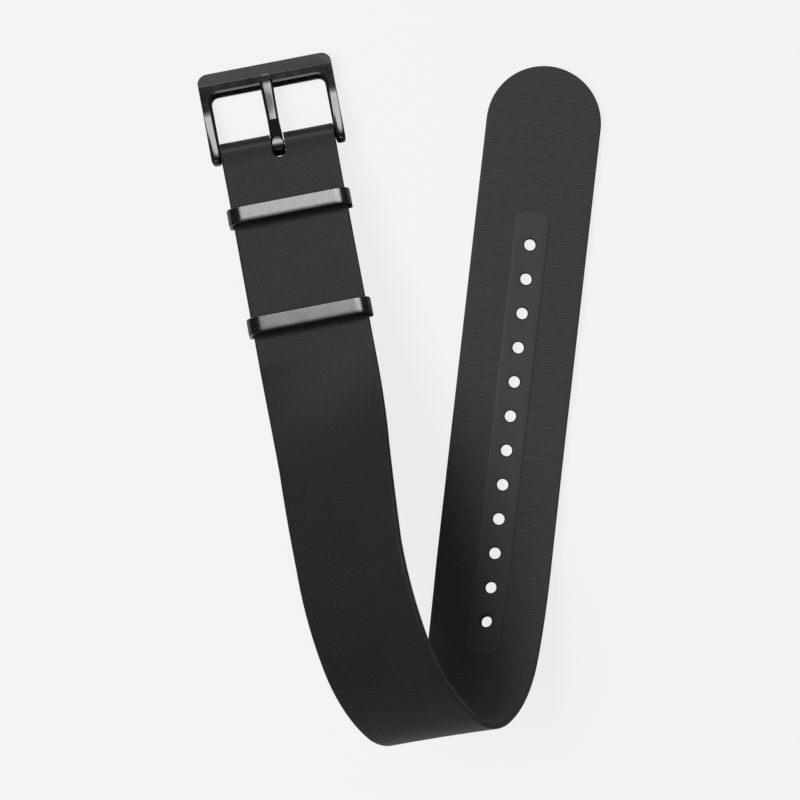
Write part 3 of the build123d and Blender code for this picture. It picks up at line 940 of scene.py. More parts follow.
def mark_end(piece, lay):
    """Keeps each point's place on the unrolled band for the rubber's material."""
    keep = piece.data.attributes.new("unrolled", "FLOAT_VECTOR", "POINT")
    values = []
    for vertex in piece.data.vertices:
        offset = vertex.co - lay.bar
        values += [offset.dot(lay.across), lay.end - offset.dot(lay.forward), -abs(offset.dot(lay.front))]
    keep.data.foreach_set("vector", values)


def joined(pieces, name):
    """One object made of several."""
    work = bmesh.new()
    for piece in pieces:
        work.from_mesh(piece.data)
    mesh = bpy.data.meshes.new(name)
    work.to_mesh(mesh)
    work.free()
    mesh.set_sharp_from_angle(angle=CREASE_ANGLE)
    mesh.materials.append(pieces[0].data.materials[0])
    for piece in pieces:
        bpy.data.objects.remove(piece)
    result = bpy.data.objects.new(name, mesh)
    bpy.context.scene.collection.objects.link(result)
    return result


def carved(piece, cutters):
    """Cuts closed pieces out of an object."""
    for cutter in cutters:
        cut = piece.modifiers.new("cut", "BOOLEAN")
        cut.operation = "DIFFERENCE"
        cut.solver = "EXACT"
        cut.object = cutter
        apply_modifiers(piece)
        bpy.data.objects.remove(cutter)


def eased(value, low, high):
    """A smooth step from nothing to one between two values."""
    part = min(1, max(0, (value - low) / (high - low)))
    return part * part * (3 - 2 * part)


def level_place(lay, pitch):
    """Puts a point given in the level frame: along the bar, towards the crossbar and up."""
    forward = lay.forward * math.cos(pitch) + lay.front * math.sin(pitch)
    up = lay.front * math.cos(pitch) - lay.forward * math.sin(pitch)
    return lambda x, y, z: lay.bar + lay.across * x + forward * y + up * z


class FrameShape:
    """Heights of the buckle frame over and under the bar's axis."""

    def __init__(self, frame, fold_radius):
        self.frame = frame
        self.level = frame.thickness - fold_radius
        self.low = self.level - frame.thickness
        flat, end = frame.arm_flat_end, frame.arm_end
        self.top_angle = math.atan2(self.level, flat) + math.acos(end / math.hypot(flat, self.level))
        self.low_angle = math.atan2(self.low, flat) - math.acos(end / math.hypot(flat, self.low))

    def line(self, y, angle, level):
        """Height of an arm's straight flank or of its round end."""
        end = self.frame.arm_end
        touch = end * math.cos(angle)
        if y <= touch:
            return math.copysign(math.sqrt(max(0, end * end - y * y)), angle)
        height = end * math.sin(angle)
        return height + (level - height) * (y - touch) / (self.frame.arm_flat_end - touch)

    def top(self, y):
        """Height of the top: bowed along an arm, blended at the crease, then level."""
        frame = self.frame
        flat, soft = frame.arm_flat_end, frame.crease_softness
        if y < flat - soft:
            part = max(0, y) / (flat - soft)
            return self.line(y, self.top_angle, self.level) + 4 * frame.arm_bow * part * (1 - part)
        if y < flat + soft:
            rise = self.line(flat - soft, self.top_angle, self.level) - self.level
            part = (flat + soft - y) / (2 * soft)
            return self.level + rise * part * part
        return self.level

    def bottom(self, y):
        """Height of the underside."""
        if y >= self.frame.arm_flat_end:
            return self.low
        return self.line(y, self.low_angle, self.low)

    def narrowing(self, y):
        """Share of its width that an arm keeps at its round end."""
        start = self.frame.narrow_start
        if y >= -start:
            return 1
        into = (y + start) / (self.frame.arm_end - start)
        return END_WIDTH_SHARE + (1 - END_WIDTH_SHARE) * math.sqrt(max(0, 1 - into * into))


def frame_rings(frame, along, turned):
    """Rings of the frame's section: offsets over an arm and over the crossbar, drop, and upper or lower."""
    edge, wide, deep = frame.edge, frame.arm_width, frame.crossbar
    fade = eased(along, -frame.arm_end, frame.arm_flat_end)
    arm = frame.arm_end_bevel + (frame.arm_bevel - frame.arm_end_bevel) * fade
    bar = frame.inner_bevel
    lip = frame.inner_lip * LIP_FALL_SHARE
    arm_fall = arm * ARM_FALL_SHARE
    bar_fall = lip + (bar - frame.inner_lip) * BAR_FALL_SHARE
    depth = arm_fall + (bar_fall - arm_fall) * turned
    lip_depth = arm_fall / 2 + (lip - arm_fall / 2) * turned
    rings = [(edge, edge, 0, 0), (0, 0, edge, 0), (0, 0, depth, 1)]
    rings += [(arm / 2, bar - frame.inner_lip, lip_depth, 1), (arm, bar, 0, 1)]
    arm_start, bar_start = arm + frame.crown_inset, bar + frame.crown_inset
    for share in CROWN_SHARES:
        crown = frame.arm_crown * (1 - (2 * share - 1) ** 2) * (1 - fade)
        over_arm = arm_start + (wide - arm_start - edge) * share
        rings.append((over_arm, bar_start + (deep - bar_start - edge) * share, -crown, 1))
    knee = edge * EDGE_KNEE_SHARE
    rings += [(wide - edge, deep - edge, 0, 1), (wide - knee, deep - knee, knee, 1)]
    rings += [(wide, deep, edge, 1), (wide, deep, edge, 0), (wide - edge, deep - edge, 0, 0)]
    return rings


def frame_stations(frame):
    """Stations from an arm's round end to the crossbar's middle: the stretch and the place on it."""
    flat, soft = frame.arm_flat_end, frame.crease_softness
    stations = []
    for k in range(ARM_END_STEPS):
        share = END_START_SHARE + (1 - END_START_SHARE) * k / ARM_END_STEPS
        stations.append(("arm", -frame.arm_end * math.cos(QUARTER * share)))
    stations += [("arm", y) for y in spread(0, flat - soft, soft)]
    stations += [("arm", y) for y in spread(flat - soft, flat + soft, soft / CREASE_CELLS)]
    stations.append(("arm", flat + soft))
    stations += [("corner", k / FRAME_CORNER_STEPS) for k in range(FRAME_CORNER_STEPS + 1)]
    stations += [("bar", k / BAR_STEPS) for k in range(1, BAR_STEPS)]
    return stations


def build_frame(frame, fold, band, lay, material):
    """The buckle frame: loops round the section, run from one arm's end to the other's."""
    shape = FrameShape(frame, fold.bore_radius + band.thickness)
    place = level_place(lay, frame.pitch)
    half = frame.inner_width / 2
    window = frame.reach - frame.crossbar
    arm_middle = frame.arm_width / 2

    def across(y, x, z):
        """A point of a cutter that runs along the bar."""
        return place(x, y, z)

    loops = []
    for kind, value in frame_stations(frame):
        along = value if kind == "arm" else frame.arm_flat_end
        turned = {"arm": 0, "corner": eased(value, 0, 1), "bar": 1}[kind]
        loop = []
        for over_arm, over_bar, drop, upper in frame_rings(frame, along, turned):
            blend = min(1, over_bar / frame.crossbar / CORNER_BLEND_SHARE)
            radius = frame.window_corner + (frame.outer_corner - frame.window_corner) * blend
            middle_x = half + over_arm - radius
            middle_y = window + over_bar - radius
            if kind == "arm":
                x, y = half + arm_middle + (over_arm - arm_middle) * shape.narrowing(value), value
            elif kind == "corner":
                turn = value * QUARTER
                x, y = middle_x + radius * math.cos(turn), middle_y + radius * math.sin(turn)
            else:
                x, y = middle_x * (1 - value), middle_y + radius
            high, low = shape.top(y), shape.bottom(y)
            scale = min(1, (high - low) / frame.full_height)
            loop.append((x, y, high - drop * scale if upper else low + drop * scale))
        loops.append(loop)
    mirrored = [[(-x, y, z) for x, y, z in loop] for loop in reversed(loops)]
    centre = [[(0, y, z) for _, y, z in loops[-1]]]
    placed = [[place(*point) for point in loop] for loop in loops + centre + mirrored]
    piece = loops_to_piece("buckle_frame_shell", placed, material)

    angles = [k * TAU / PIVOT_SIDES for k in range(PIVOT_SIDES)]
    circle = [(frame.pivot_radius * math.cos(a), frame.pivot_radius * math.sin(a)) for a in angles]
    cutters = []
    for side in (-1, 1):
        stations = [side * (half - OVERRUN), side * (half + frame.pivot_depth)]
        cutters.append(run_through("pivot_cutter", circle, across, stations, material))
    crease = frame.reach - frame.bevel_width
    past = frame.bevel_width + OVERRUN
    fall = frame.bevel_drop / frame.bevel_width * past
    level = shape.level
    wedge = [(crease, level), (crease + past, level - fall)]
    wedge += [(crease + past, level + past), (crease, level + past)]
    stations = [-half - past, half + past]
    cutters.append(run_through("bevel_cutter", wedge, across, stations, material))
    carved(piece, cutters)
    piece.data.set_sharp_from_angle(angle=FRAME_CREASE_ANGLE)
    return weighted(piece)


def shank_spots(tongue, tip_start):
    """Stations along the shank, from the knuckle to the tip."""
    near = tongue.crest_reach - tongue.crest_softness
    far = tongue.crest_reach + tongue.crest_softness
    round_start = tongue.reach - tongue.tip_round
    spots = spread(tongue.crest_softness, tongue.boss_reach, SHANK_STEP)
    spots += spread(tongue.boss_reach, near, SHANK_STEP)
    spots += spread(near, far, tongue.crest_softness / 2)
    spots += spread(far, tip_start, ARCH_STEP)
    spots += spread(tip_start, round_start, ARCH_STEP)
    return spots + [tongue.reach - tongue.tip_round * share for share in TIP_ROUND_SHARES]


def shank_section(tongue, wide, edge, low, high):
    """The shank's section: rounded top edges and small lower ones."""
    section = []
    for side in (1, -1):
        arc = []
        for k in range(SHANK_EDGE_STEPS + 1):
            angle = k / SHANK_EDGE_STEPS * QUARTER
            aside = wide / 2 - edge + edge * math.cos(angle)
            arc.append((side * aside, high - edge * SHANK_EDGE_SHARE * (1 - math.sin(angle))))
        section += arc[::side]
    small = tongue.lower_edge
    section += [(-wide / 2, low + small), (small - wide / 2, low)]
    return section + [(wide / 2 - small, low), (wide / 2, low + small)]


def build_shank(tongue, level, place, material):
    """The arched shank, from the knuckle over the crest and down to the tip on the crossbar."""
    tip_start = tongue.reach - tongue.tip_flat
    tip_top = level + tongue.tip_gap + tongue.tip_thickness
    fall = tongue.crest_height - tip_top
    run = tip_start - tongue.crest_reach

    def top(y):
        """Height of the shank's top."""
        if y < tongue.boss_reach:
            return tongue.root_height
        if y < tongue.crest_reach:
            part = (y - tongue.boss_reach) / (tongue.crest_reach - tongue.boss_reach)
            return tongue.root_height + (tongue.crest_height - tongue.root_height) * part
        part = (y - tongue.crest_reach) / run
        if part >= 1:
            return tip_top
        wave = tongue.wave * math.sin(TAU * part)
        return tongue.crest_height - fall * (part + wave * (1 - WAVE_FADE_SHARE * part))

    loops = []
    for y in shank_spots(tongue, tip_start):
        part = min(1, max(0, (y - tongue.crest_reach) / run))
        root = 1 - eased(y, tongue.boss_reach, tongue.crest_reach)
        wide = tongue.width + (tongue.tip_width - tongue.width) * part
        wide += (tongue.root_width - tongue.width) * root
        thick = tongue.thickness + (tongue.tip_thickness - tongue.thickness) * part
        edge = tongue.edge
        ease = 1.0
        if y > tip_start:
            past = (y - tip_start) / tongue.tip_flat
            wide += (tongue.end_width - tongue.tip_width) * past
            edge += (tongue.tip_edge - tongue.edge) * min(1, past / TIP_EDGE_SHARE)
            into = max(0, (y - tongue.reach + tongue.tip_round) / tongue.tip_round)
            ease = math.sqrt(max(TIP_END_SHARE, 1 - into * into))
            wide *= TIP_WIDTH_SHARE + (1 - TIP_WIDTH_SHARE) * ease
        low = top(y) - thick
        high = low + thick * (TIP_HEIGHT_SHARE + (1 - TIP_HEIGHT_SHARE) * ease)
        loops.append([place(x, y, z) for x, z in shank_section(tongue, wide, edge, low, high)])
    return loops_to_piece("shank", loops, material)


def build_knuckle(tongue, place, material):
    """The bored knuckle on the bar, with its sloping, round-nosed boss."""
    radius = tongue.bore + tongue.thickness
    slope = tongue.boss_angle
    half = tongue.knuckle_width / 2
    nose = half - tongue.nose_inset
    soft = tongue.knuckle_edge
    small = tongue.boss_edge
    sides = [share * soft - half for share in KNUCKLE_EDGE_SHARES]
    between = [k * half * KNUCKLE_CELL_SHARE for k in range(-KNUCKLE_CELLS, KNUCKLE_CELLS + 1)]
    outer, inner = [], []
    for aside in sides + between + [-side for side in reversed(sides)]:
        near = half - abs(aside)
        inset = soft - math.sqrt(max(0, soft * soft - (soft - near) ** 2)) if near < soft else 0
        own = radius - inset
        front = tongue.boss_reach - nose + math.sqrt(max(0, nose * nose - min(nose, abs(aside)) ** 2))
        start = max(front, own * math.sin(slope) + tongue.boss_clearance)
        top = (own - start * math.sin(slope)) / math.cos(slope)
        low = -math.sqrt(max(0, own * own - start * start)) if start < own else -small
        back, drop, rest = (share * small for share in BOSS_EDGE_SHARES)
        loop = [(start, low), (start, small), (start, top - small), (start - back, top - drop)]
        loop.append((start - rest, (own - (start - rest) * math.sin(slope)) / math.cos(slope)))
        begin = QUARTER - slope
        finish = TAU + (math.atan2(low, start) if start < own else -math.asin(small / own))
        for k in range(KNUCKLE_STEPS):
            angle = begin + (finish - begin) * k / KNUCKLE_STEPS
            loop.append((own * math.cos(angle), own * math.sin(angle)))
        outer.append([place(aside, y, z) for y, z in loop])
        turns = [math.atan2(z, y) for y, z in loop]
        inner.append([place(aside, tongue.bore * math.cos(a), tongue.bore * math.sin(a)) for a in turns])
    return loops_to_piece("knuckle", outer + inner[::-1], material, ring=True)


def build_tongue(tongue, frame, fold, band, lay, material):
    """The tongue: its arched shank and its bored knuckle."""
    level = FrameShape(frame, fold.bore_radius + band.thickness).level
    place = level_place(lay, frame.pitch)
    pieces = [build_shank(tongue, level, place, material), build_knuckle(tongue, place, material)]
    return weighted(joined(pieces, "buckle_tongue_shell"))


def ring_outline(half, low, high, corner, reach, drop):
    """A keeper's outline: small round lower corners and long oval shoulders."""
    quarter = [k / RING_STEPS * QUARTER for k in range(RING_STEPS + 1)]
    right = [(half - corner + corner * math.sin(a), low + corner - corner * math.cos(a)) for a in quarter]
    right += [(half - reach + reach * math.cos(a), high - drop + drop * math.sin(a)) for a in quarter]
    return right + [(-x, y) for x, y in reversed(right)]


def keeper_section(keeper, thick, lift):
    """A keeper's section at a share of its height: place along the strap and height over its inside."""
    half = keeper.band / 2
    soft = keeper.lower_edge + (keeper.soft_edge - keeper.lower_edge) * lift
    fall = keeper.lower_edge + (keeper.soft_drop - keeper.lower_edge) * lift
    crisp, small = keeper.crisp_edge, keeper.inner_edge
    corners = (
        (-1, thick, soft, fall, 1),
        (1, thick, crisp, crisp, 1),
        (1, 0, small, small, -1),
        (-1, 0, small, small, -1),
    )
    section = []
    for index, (side, level, wide, deep, up) in enumerate(corners):
        for k in range(RING_EDGE_STEPS + 1):
            angle = k / RING_EDGE_STEPS * QUARTER
            if index % 2:
                angle = QUARTER - angle
            along = side * (half - wide * (1 - math.cos(angle)))
            section.append((along, level - up * deep * (1 - math.sin(angle))))
    return section


def build_keeper(name, distance, keeper, fold, band, lay, material):
    """A keeper: a rounded section carried round the ring."""
    floor = fold.bore_radius - fold.pocket_height / 2 - keeper.bottom_wall / 2
    roof = fold.bore_radius + band.thickness + keeper.headroom
    inside = band.width / 2 + keeper.side_gap
    top = roof + keeper.top_wall
    reach, drop = keeper.shoulder_reach, keeper.shoulder_drop
    outer = ring_outline(inside + keeper.side_wall, floor, top, keeper.bottom_corner, reach, drop)
    reach, drop = reach - keeper.side_wall, drop - keeper.top_wall
    inner = ring_outline(inside, floor + keeper.bottom_wall, roof, keeper.inner_edge, reach, drop)
    loops = []
    for spot, home in zip(outer, inner):
        out, home = Vector(spot), Vector(home)
        thick = (out - home).length
        way = (out - home) / thick
        loop = []
        for along, height in keeper_section(keeper, thick, eased(out.y, floor, top)):
            point = home + way * height
            loop.append(lay.end_point(along - distance, point.x, point.y))
        loops.append(loop)
    return weighted(loops_to_piece(name, loops, material, ring=True, angle=KEEPER_CREASE_ANGLE))


class Nodes:
    """Short ways to add and link a material's nodes."""

    def __init__(self, name):
        self.material = bpy.data.materials.new(name)
        self.material.use_nodes = True
        self.tree = self.material.node_tree
        self.shader = self.tree.nodes["Principled BSDF"]

    def add(self, kind, inputs=None, **values):
        """A node with its settings, and its inputs set or linked."""
        node = self.tree.nodes.new(kind)
        for key, value in values.items():
            setattr(node, key, value)
        for key, value in (inputs or {}).items():
            self.set(node.inputs[key], value)
        return node

    def set(self, socket, value):
        """Links a socket to another one, or sets its constant."""
        if isinstance(value, bpy.types.NodeSocket):
            self.tree.links.new(value, socket)
        else:
            socket.default_value = value

    def give(self, **values):
        """Sets or links the shader's inputs, named with underscores for spaces."""
        for key, value in values.items():
            self.set(self.shader.inputs[key.replace("_", " ")], value)

    def calc(self, kind, one, two=0.0, three=0.0):
        """A calculation with up to three values."""
        node = self.add("ShaderNodeMath", operation=kind)
        for socket, value in zip(node.inputs, (one, two, three)):
            self.set(socket, value)
        return node.outputs[0]

    def span(self, value, low, high, to_low=0.0, to_high=1.0):
        """A value mapped from one range to another and held inside it."""
        inputs = {"Value": value, 1: low, 2: high, 3: to_low, 4: to_high}
        return self.add("ShaderNodeMapRange", inputs).outputs[0]

    def between(self, value, spots):
        """One between the two middle places, fading to nothing at the outer two."""
        start = self.span(value, spots[0], spots[1])
        return self.calc("MULTIPLY", start, self.span(value, spots[2], spots[3], 1.0, 0.0))

    def scaled(self, vector, factors):
        """A vector stretched along its axes."""
        return self.add("ShaderNodeVectorMath", {0: vector, 1: factors}, operation="MULTIPLY").outputs[0]

    def noise(self, vector, scale, detail=2.0, roughness=0.5):
        """A smooth noise."""
        inputs = {"Vector": vector, "Scale": scale, "Detail": detail, "Roughness": roughness}
        return self.add("ShaderNodeTexNoise", inputs).outputs["Fac"]

    def mix(self, factor, one, two):
        """A blend of two colours."""
        node = self.add("ShaderNodeMix", data_type="RGBA")
        for key, value in ((0, factor), (6, one), (7, two)):
            self.set(node.inputs[key], value)
        return node.outputs[2]

    def bump(self, height, distance, strength=1.0, normal=None):
        """A normal bent by a height, over another normal where one is given."""
        inputs = {"Height": height, "Distance": distance, "Strength": strength}
        if normal is not None:
            inputs["Normal"] = normal
        return self.add("ShaderNodeBump", inputs).outputs[0]


def shaded(rgb, tone):
    """A colour made darker or paler."""
    return (rgb[0] * tone, rgb[1] * tone, rgb[2] * tone, 1)


def rib_depth(nodes, band, look, streak, along, past, upper):
    """Height of the fine cross ribs: wandering, uneven, lower on the tail's lower face and on the fold."""
    waved = nodes.calc("MULTIPLY_ADD", streak, look.rib_wander, along)
    turn = nodes.calc("MULTIPLY", waved, TAU / band.rib_pitch)
    fine = nodes.calc("MULTIPLY_ADD", nodes.calc("SINE", turn), 0.5, 0.5)
    other = nodes.calc("SINE", nodes.calc("MULTIPLY", turn, 0.5))
    pair = nodes.calc("MULTIPLY_ADD", other, look.rib_pairing, 1 - look.rib_pairing)
    depth = nodes.calc("MULTIPLY", fine, pair)
    depth = nodes.calc("MULTIPLY", depth, nodes.span(upper, 0.0, 1.0, look.lower_ribs, 1.0))
    depth = nodes.calc("MULTIPLY", depth, nodes.span(streak, *STREAKS, look.rib_unevenness, 1.0))
    fade = nodes.span(past, -look.rib_fade, -look.rib_fade_end, 1.0, look.fold_ribs)
    return nodes.calc("MULTIPLY", depth, fade)


def hole_rim(nodes, band, look, aside, along):
    """How much a place gets the painted shade round the nearest adjusting hole."""
    offset = nodes.calc("SUBTRACT", along, band.first_hole)
    turn = nodes.calc("ROUND", nodes.calc("DIVIDE", offset, band.hole_pitch))
    turn = nodes.calc("MINIMUM", nodes.calc("MAXIMUM", turn, 0.0), band.hole_count - 1)
    ahead = nodes.calc("SUBTRACT", offset, nodes.calc("MULTIPLY", turn, band.hole_pitch))
    squares = [nodes.calc("POWER", side, 2.0) for side in (aside, ahead)]
    away = nodes.calc("SQRT", nodes.calc("ADD", *squares))
    radius = band.hole_diameter / 2
    return nodes.span(away, radius + look.rim_full, radius + look.rim_end, look.rim_shade_share, 0.0)


def rubber_material(band, lay, look, name, ribbed):
    """Matt black rubber: fine ribs where it is ribbed, grain, worn edges, painted shade in the rib grooves
    and round the holes, and a painted highlight on the fold's crown with painted shade in the hollow behind
    it.
    """
    nodes = Nodes(name)
    rubber = look.rubber
    place = nodes.add("ShaderNodeAttribute", attribute_name="unrolled", attribute_type="GEOMETRY")
    place = place.outputs["Vector"]
    aside, along, height = nodes.add("ShaderNodeSeparateXYZ", {"Vector": place}).outputs
    past = nodes.calc("SUBTRACT", along, lay.bar_distance)
    patches = nodes.noise(place, look.patch_scale, RICH_DETAIL)
    grain = nodes.noise(place, look.grain_scale, RICH_DETAIL, GRAIN_MIX)
    streak = nodes.noise(nodes.scaled(place, (1.0, look.streak_squeeze, 1.0)), look.streak_scale)
    upper = nodes.span(height, -look.face_blend, look.face_blend)

    tone = nodes.mix(
        nodes.span(patches, *PATCHES), shaded(rubber, look.dark_patch), shaded(rubber, look.pale_patch)
    )
    tone = nodes.mix(upper, tone, shaded(rubber, look.upper_tone))
    normal = nodes.bump(grain, look.grain_height, look.grain_strength)
    if ribbed:
        depth = rib_depth(nodes, band, look, streak, along, past, upper)
        # Painted shade: the grooves between the bump-drawn ribs are darker
        groove = nodes.span(depth, *GROOVES, look.groove_shade_share, 0.0)
        tone = nodes.mix(groove, tone, shaded(rubber, look.groove_shade_tone))
        normal = nodes.bump(depth, band.rib_height, 1.0, normal)
    side = band.width / 2
    edge = nodes.span(nodes.calc("ABSOLUTE", aside), side - look.worn_start, side - look.worn_full)
    worn = nodes.calc("MULTIPLY", edge, nodes.span(patches, *WORN_PATCHES))
    tone = nodes.mix(nodes.calc("MULTIPLY", worn, look.worn_share), tone, shaded(rubber, look.worn_tone))
    # Painted shade: a dark ring round each adjusting hole
    tone = nodes.mix(hole_rim(nodes, band, look, aside, along), tone, shaded(rubber, look.rim_shade_tone))
    # Painted highlight on the fold's crown and painted shade in the hollow behind it; the crown is also made
    # smoother below
    crown = nodes.between(past, look.crown)
    hollow = nodes.between(past, look.hollow)
    pale = nodes.calc("MULTIPLY_ADD", crown, look.crown_highlight, 1.0)
    pale = nodes.calc("MULTIPLY_ADD", hollow, -look.hollow_shade, pale)
    tone = nodes.add("ShaderNodeVectorMath", {0: tone, "Scale": pale}, operation="SCALE").outputs[0]

    rough = nodes.span(grain, *GRAINS, look.roughness - look.smoother, look.roughness + look.rougher)
    rough = nodes.calc("MULTIPLY_ADD", upper, look.upper_roughness, rough)
    rough = nodes.calc("MULTIPLY_ADD", crown, -look.crown_polish, rough)
    rough = nodes.calc("MULTIPLY_ADD", hollow, look.hollow_dulling, rough)
    nodes.give(Base_Color=tone, Roughness=rough, Normal=normal, Specular_IOR_Level=look.specular)
    nodes.give(Sheen_Weight=look.sheen, Sheen_Roughness=look.sheen_roughness)
    return nodes.material


def metal_material(name, finish, reflected, roughness, scratches):
    """Metal with softened edges, a faint lengthwise grain, small smudges and paler worn corners."""
    nodes = Nodes(name)
    where = nodes.add("ShaderNodeTexCoord").outputs["Object"]
    smudge = nodes.noise(where, finish.smudge_scale, RICH_DETAIL)
    fleck = nodes.noise(where, finish.fleck_scale)
    grain = nodes.noise(nodes.scaled(where, (1.0, finish.scratch_stretch, 1.0)), finish.scratch_scale)
    soft = nodes.add("ShaderNodeBevel", {"Radius": finish.edge_softness}, samples=EDGE_RAYS)
    bend = nodes.add("ShaderNodeNewGeometry").outputs["Pointiness"]
    worn = nodes.calc("MULTIPLY", nodes.span(bend, *CORNERS), finish.worn_share)
    dark, pale = shaded(reflected, finish.dark_smudge), shaded(reflected, finish.pale_smudge)
    tone = nodes.mix(nodes.span(smudge, *WORN_PATCHES), dark, pale)
    tone = nodes.mix(worn, tone, shaded(reflected, finish.worn_tone))
    rough = nodes.span(smudge, *SMUDGES, roughness - finish.polish, roughness + finish.dulling)
    rough = nodes.calc("ADD", rough, nodes.span(fleck, *FLECKS, 0.0, finish.fleck_dulling))
    normal = nodes.bump(grain, scratches, finish.scratch_strength, soft.outputs[0])
    nodes.give(Base_Color=tone, Roughness=rough, Normal=normal, Metallic=1.0)
    return nodes.material


def dark_coating(context):
    """The finish shared by the frame, the tongue and the keepers."""
    made = bpy.data.materials.get("dark_coated_steel")
    if made:
        return made
    finish = context.scene.strap_finish
    return metal_material(
        "dark_coated_steel", finish, finish.coating, finish.coating_roughness, finish.coating_scratches
    )


class STRAP_OT_band(Operator):
    """Build the moulded band, its hole strip and the bonded flap, in place of the plain strap"""

    bl_idname = "strap.band"
    bl_label = "Band"

    def execute(self, context):
        band = context.scene.strap_band
        fold = context.scene.strap_fold
        lay = Lay(band, fold)
        look = context.scene.strap_rubber
        ribbed = rubber_material(band, lay, look, "ribbed_rubber", True)
        smooth = rubber_material(band, lay, look, "smooth_rubber", False)
        for piece in (
            build_band(band, fold, lay, ribbed),
            build_strip(band, lay, smooth),
            build_flap(band, fold, lay, smooth),
        ):
            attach(piece, "strap")
            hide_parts("strap")
        return {"FINISHED"}


class STRAP_OT_frame(Operator):
    """Build the buckle's frame with its broad bevel, domed arms and pivot holes"""

    bl_idname = "strap.frame"
    bl_label = "Buckle frame"

    def execute(self, context):
        scene = context.scene
        band, fold = scene.strap_band, scene.strap_fold
        piece = build_frame(scene.strap_frame, fold, band, Lay(band, fold), dark_coating(context))
        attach(piece, "buckle")
        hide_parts("buckle_frame")
        return {"FINISHED"}


class STRAP_OT_tongue(Operator):
    """Build the arched tongue with its knuckle and boss"""

    bl_idname = "strap.tongue"
    bl_label = "Tongue"

    def execute(self, context):
        scene = context.scene
        band, fold = scene.strap_band, scene.strap_fold
        coating = dark_coating(context)
        piece = build_tongue(scene.strap_tongue, scene.strap_frame, fold, band, Lay(band, fold), coating)
        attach(piece, "tongue")
        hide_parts("buckle_tongue")
        return {"FINISHED"}


class STRAP_OT_keepers(Operator):
    """Build the two keepers"""

    bl_idname = "strap.keepers"
    bl_label = "Keepers"

    def execute(self, context):
        scene = context.scene
        band, fold, keeper = scene.strap_band, scene.strap_fold, scene.strap_keeper
        lay = Lay(band, fold)
        coating = dark_coating(context)
        keepers = (
            ("keeper_near", "keeper_near_buckle", fold.near_keeper),
            ("keeper_far", "keeper_far_from_buckle", fold.near_keeper + fold.keeper_spacing),
        )
        for body, node, distance in keepers:
            piece = build_keeper(f"{node}_shell", distance, keeper, fold, band, lay, coating)
            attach(piece, body)
            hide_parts(node)
        return {"FINISHED"}


class STRAP_OT_bar(Operator):
    """Finish the spring bar's tube, pins and coil in bare steel"""

    bl_idname = "strap.bar"
    bl_label = "Spring bar"

    def execute(self, context):
        finish = context.scene.strap_finish
        bare = metal_material(
            "bare_steel", finish, finish.bar_steel, finish.bar_roughness, finish.bar_scratches
        )
        for node in ("bar_tube", "bar_tip_left", "bar_tip_right", "bar_spring"):
            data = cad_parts[node].data
            data.materials.clear()
            data.materials.append(bare)
        return {"FINISHED"}


def build_floor(stage):
    """The pale floor, mostly plain to the camera so that shadows stay faint."""
    nodes = Nodes("pale_floor")
    pale = (*stage.floor, 1)
    nodes.give(Base_Color=pale, Roughness=stage.floor_roughness, Specular_IOR_Level=stage.floor_specular)
    seen = nodes.add("ShaderNodeLightPath").outputs["Is Camera Ray"]
    glow = nodes.add("ShaderNodeEmission", {"Color": pale, "Strength": stage.floor_glow})
    part = nodes.calc("MULTIPLY", seen, stage.floor_plain)
    blend = nodes.add("ShaderNodeMixShader", {0: part, 1: nodes.shader.outputs[0], 2: glow.outputs[0]})
    nodes.set(nodes.tree.nodes["Material Output"].inputs["Surface"], blend.outputs[0])
    mesh = bpy.data.meshes.new("floor")
    reach = stage.floor_reach
    corners = [(x * reach, y * reach, 0) for x, y in ((-1, -1), (1, -1), (1, 1), (-1, 1))]
    mesh.from_pydata(corners, [], [(0, 1, 2, 3)])
    mesh.materials.append(nodes.material)
    floor = bpy.data.objects.new("floor", mesh)
    floor.location.z = -stage.floor_drop
    return floor


def area_light(name, spot, target, size, tall, radiance):
    """A soft rectangular lamp that faces a target and has a given radiance."""
    data = bpy.data.lights.new(name, "AREA")
    data.shape = "RECTANGLE"
    data.size = size
    data.size_y = tall
    data.energy = radiance * math.pi * size * tall
    lamp = bpy.data.objects.new(name, data)
    lamp.location = spot
    lamp.rotation_euler = (target - spot).to_track_quat("-Z", "Y").to_euler()
    return lamp


def build_camera(stage):
    """The camera, straight above the strap."""
    data = bpy.data.cameras.new("camera")
    data.lens = stage.lens
    data.sensor_width = stage.sensor
    data.clip_start = stage.nearest
    camera = bpy.data.objects.new("camera", data)
    camera.location = (*stage.camera_spot, stage.camera_height)
    camera.rotation_euler.z = stage.camera_turn
    return camera


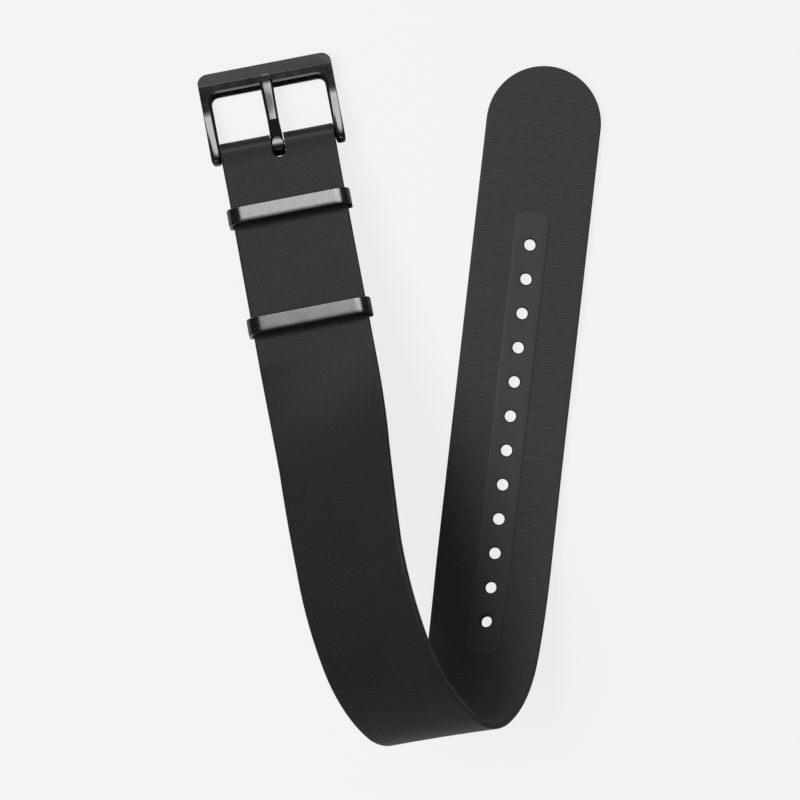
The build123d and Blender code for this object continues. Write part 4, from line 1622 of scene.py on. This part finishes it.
class STRAP_OT_stage(Operator):
    """Build the pale floor, the soft light and the camera"""

    bl_idname = "strap.stage"
    bl_label = "Stage"

    def execute(self, context):
        scene = context.scene
        stage = scene.strap_stage
        scene.view_settings.view_transform = "Standard"
        floor = build_floor(stage)
        scene.collection.objects.link(floor)

        dome = bpy.data.worlds.new("dome")
        scene.world = dome
        dome.use_nodes = True
        back = dome.node_tree.nodes["Background"]
        back.inputs["Color"].default_value = (1, 1, 1, 1)
        back.inputs["Strength"].default_value = stage.dome

        middle = Vector((*stage.camera_spot, 0))
        spin = Matrix.Rotation(stage.camera_turn, 3, "Z")
        for name, strength, away, north, east, wide, tall, missed in LAMPS:
            lean = Vector((math.tan(math.radians(east)), math.tan(math.radians(north)), 1)).normalized()
            spot = middle + spin @ (lean * away)
            lamp = area_light(name, spot, middle, wide, tall, getattr(stage, strength))
            setattr(lamp, missed, False)
            scene.collection.objects.link(lamp)

        camera = build_camera(stage)
        scene.collection.objects.link(camera)
        scene.camera = camera
        return {"FINISHED"}


class STRAP_PT_panel(Panel):
    """Lists the strap's pieces and their sizes"""

    bl_label = "Watch strap"
    bl_idname = "STRAP_PT_panel"
    bl_space_type = "VIEW_3D"
    bl_region_type = "UI"
    bl_category = "Strap"

    def draw(self, context):
        for operator, settings in PARTS:
            self.layout.operator(operator.bl_idname)
            for name in settings:
                group = getattr(context.scene, name)
                for key in group.bl_rna.properties.keys():
                    if key not in ("rna_type", "name"):
                        self.layout.prop(group, key)


PARTS = (
    (STRAP_OT_band, ("strap_band", "strap_fold", "strap_rubber")),
    (STRAP_OT_frame, ("strap_frame",)),
    (STRAP_OT_tongue, ("strap_tongue",)),
    (STRAP_OT_keepers, ("strap_keeper",)),
    (STRAP_OT_bar, ("strap_finish",)),
    (STRAP_OT_stage, ("strap_stage",)),
)
SETTINGS = {
    "strap_band": StrapBandSettings,
    "strap_fold": FoldSettings,
    "strap_frame": FrameSettings,
    "strap_tongue": TongueSettings,
    "strap_keeper": KeeperSettings,
    "strap_rubber": RubberSettings,
    "strap_finish": FinishSettings,
    "strap_stage": StageSettings,
}
CLASSES = (*SETTINGS.values(), *(operator for operator, _ in PARTS), STRAP_PT_panel)


def register():
    for item in CLASSES:
        bpy.utils.register_class(item)
    for name, group in SETTINGS.items():
        setattr(bpy.types.Scene, name, PointerProperty(type=group))


def unregister():
    for name in SETTINGS:
        delattr(bpy.types.Scene, name)
    for item in reversed(CLASSES):
        bpy.utils.unregister_class(item)


def main():
    register()
    bpy.ops.strap.band()
    bpy.ops.strap.frame()
    bpy.ops.strap.tongue()
    bpy.ops.strap.keepers()
    bpy.ops.strap.bar()
    bpy.ops.strap.stage()


if __name__ == "__main__":
    main()
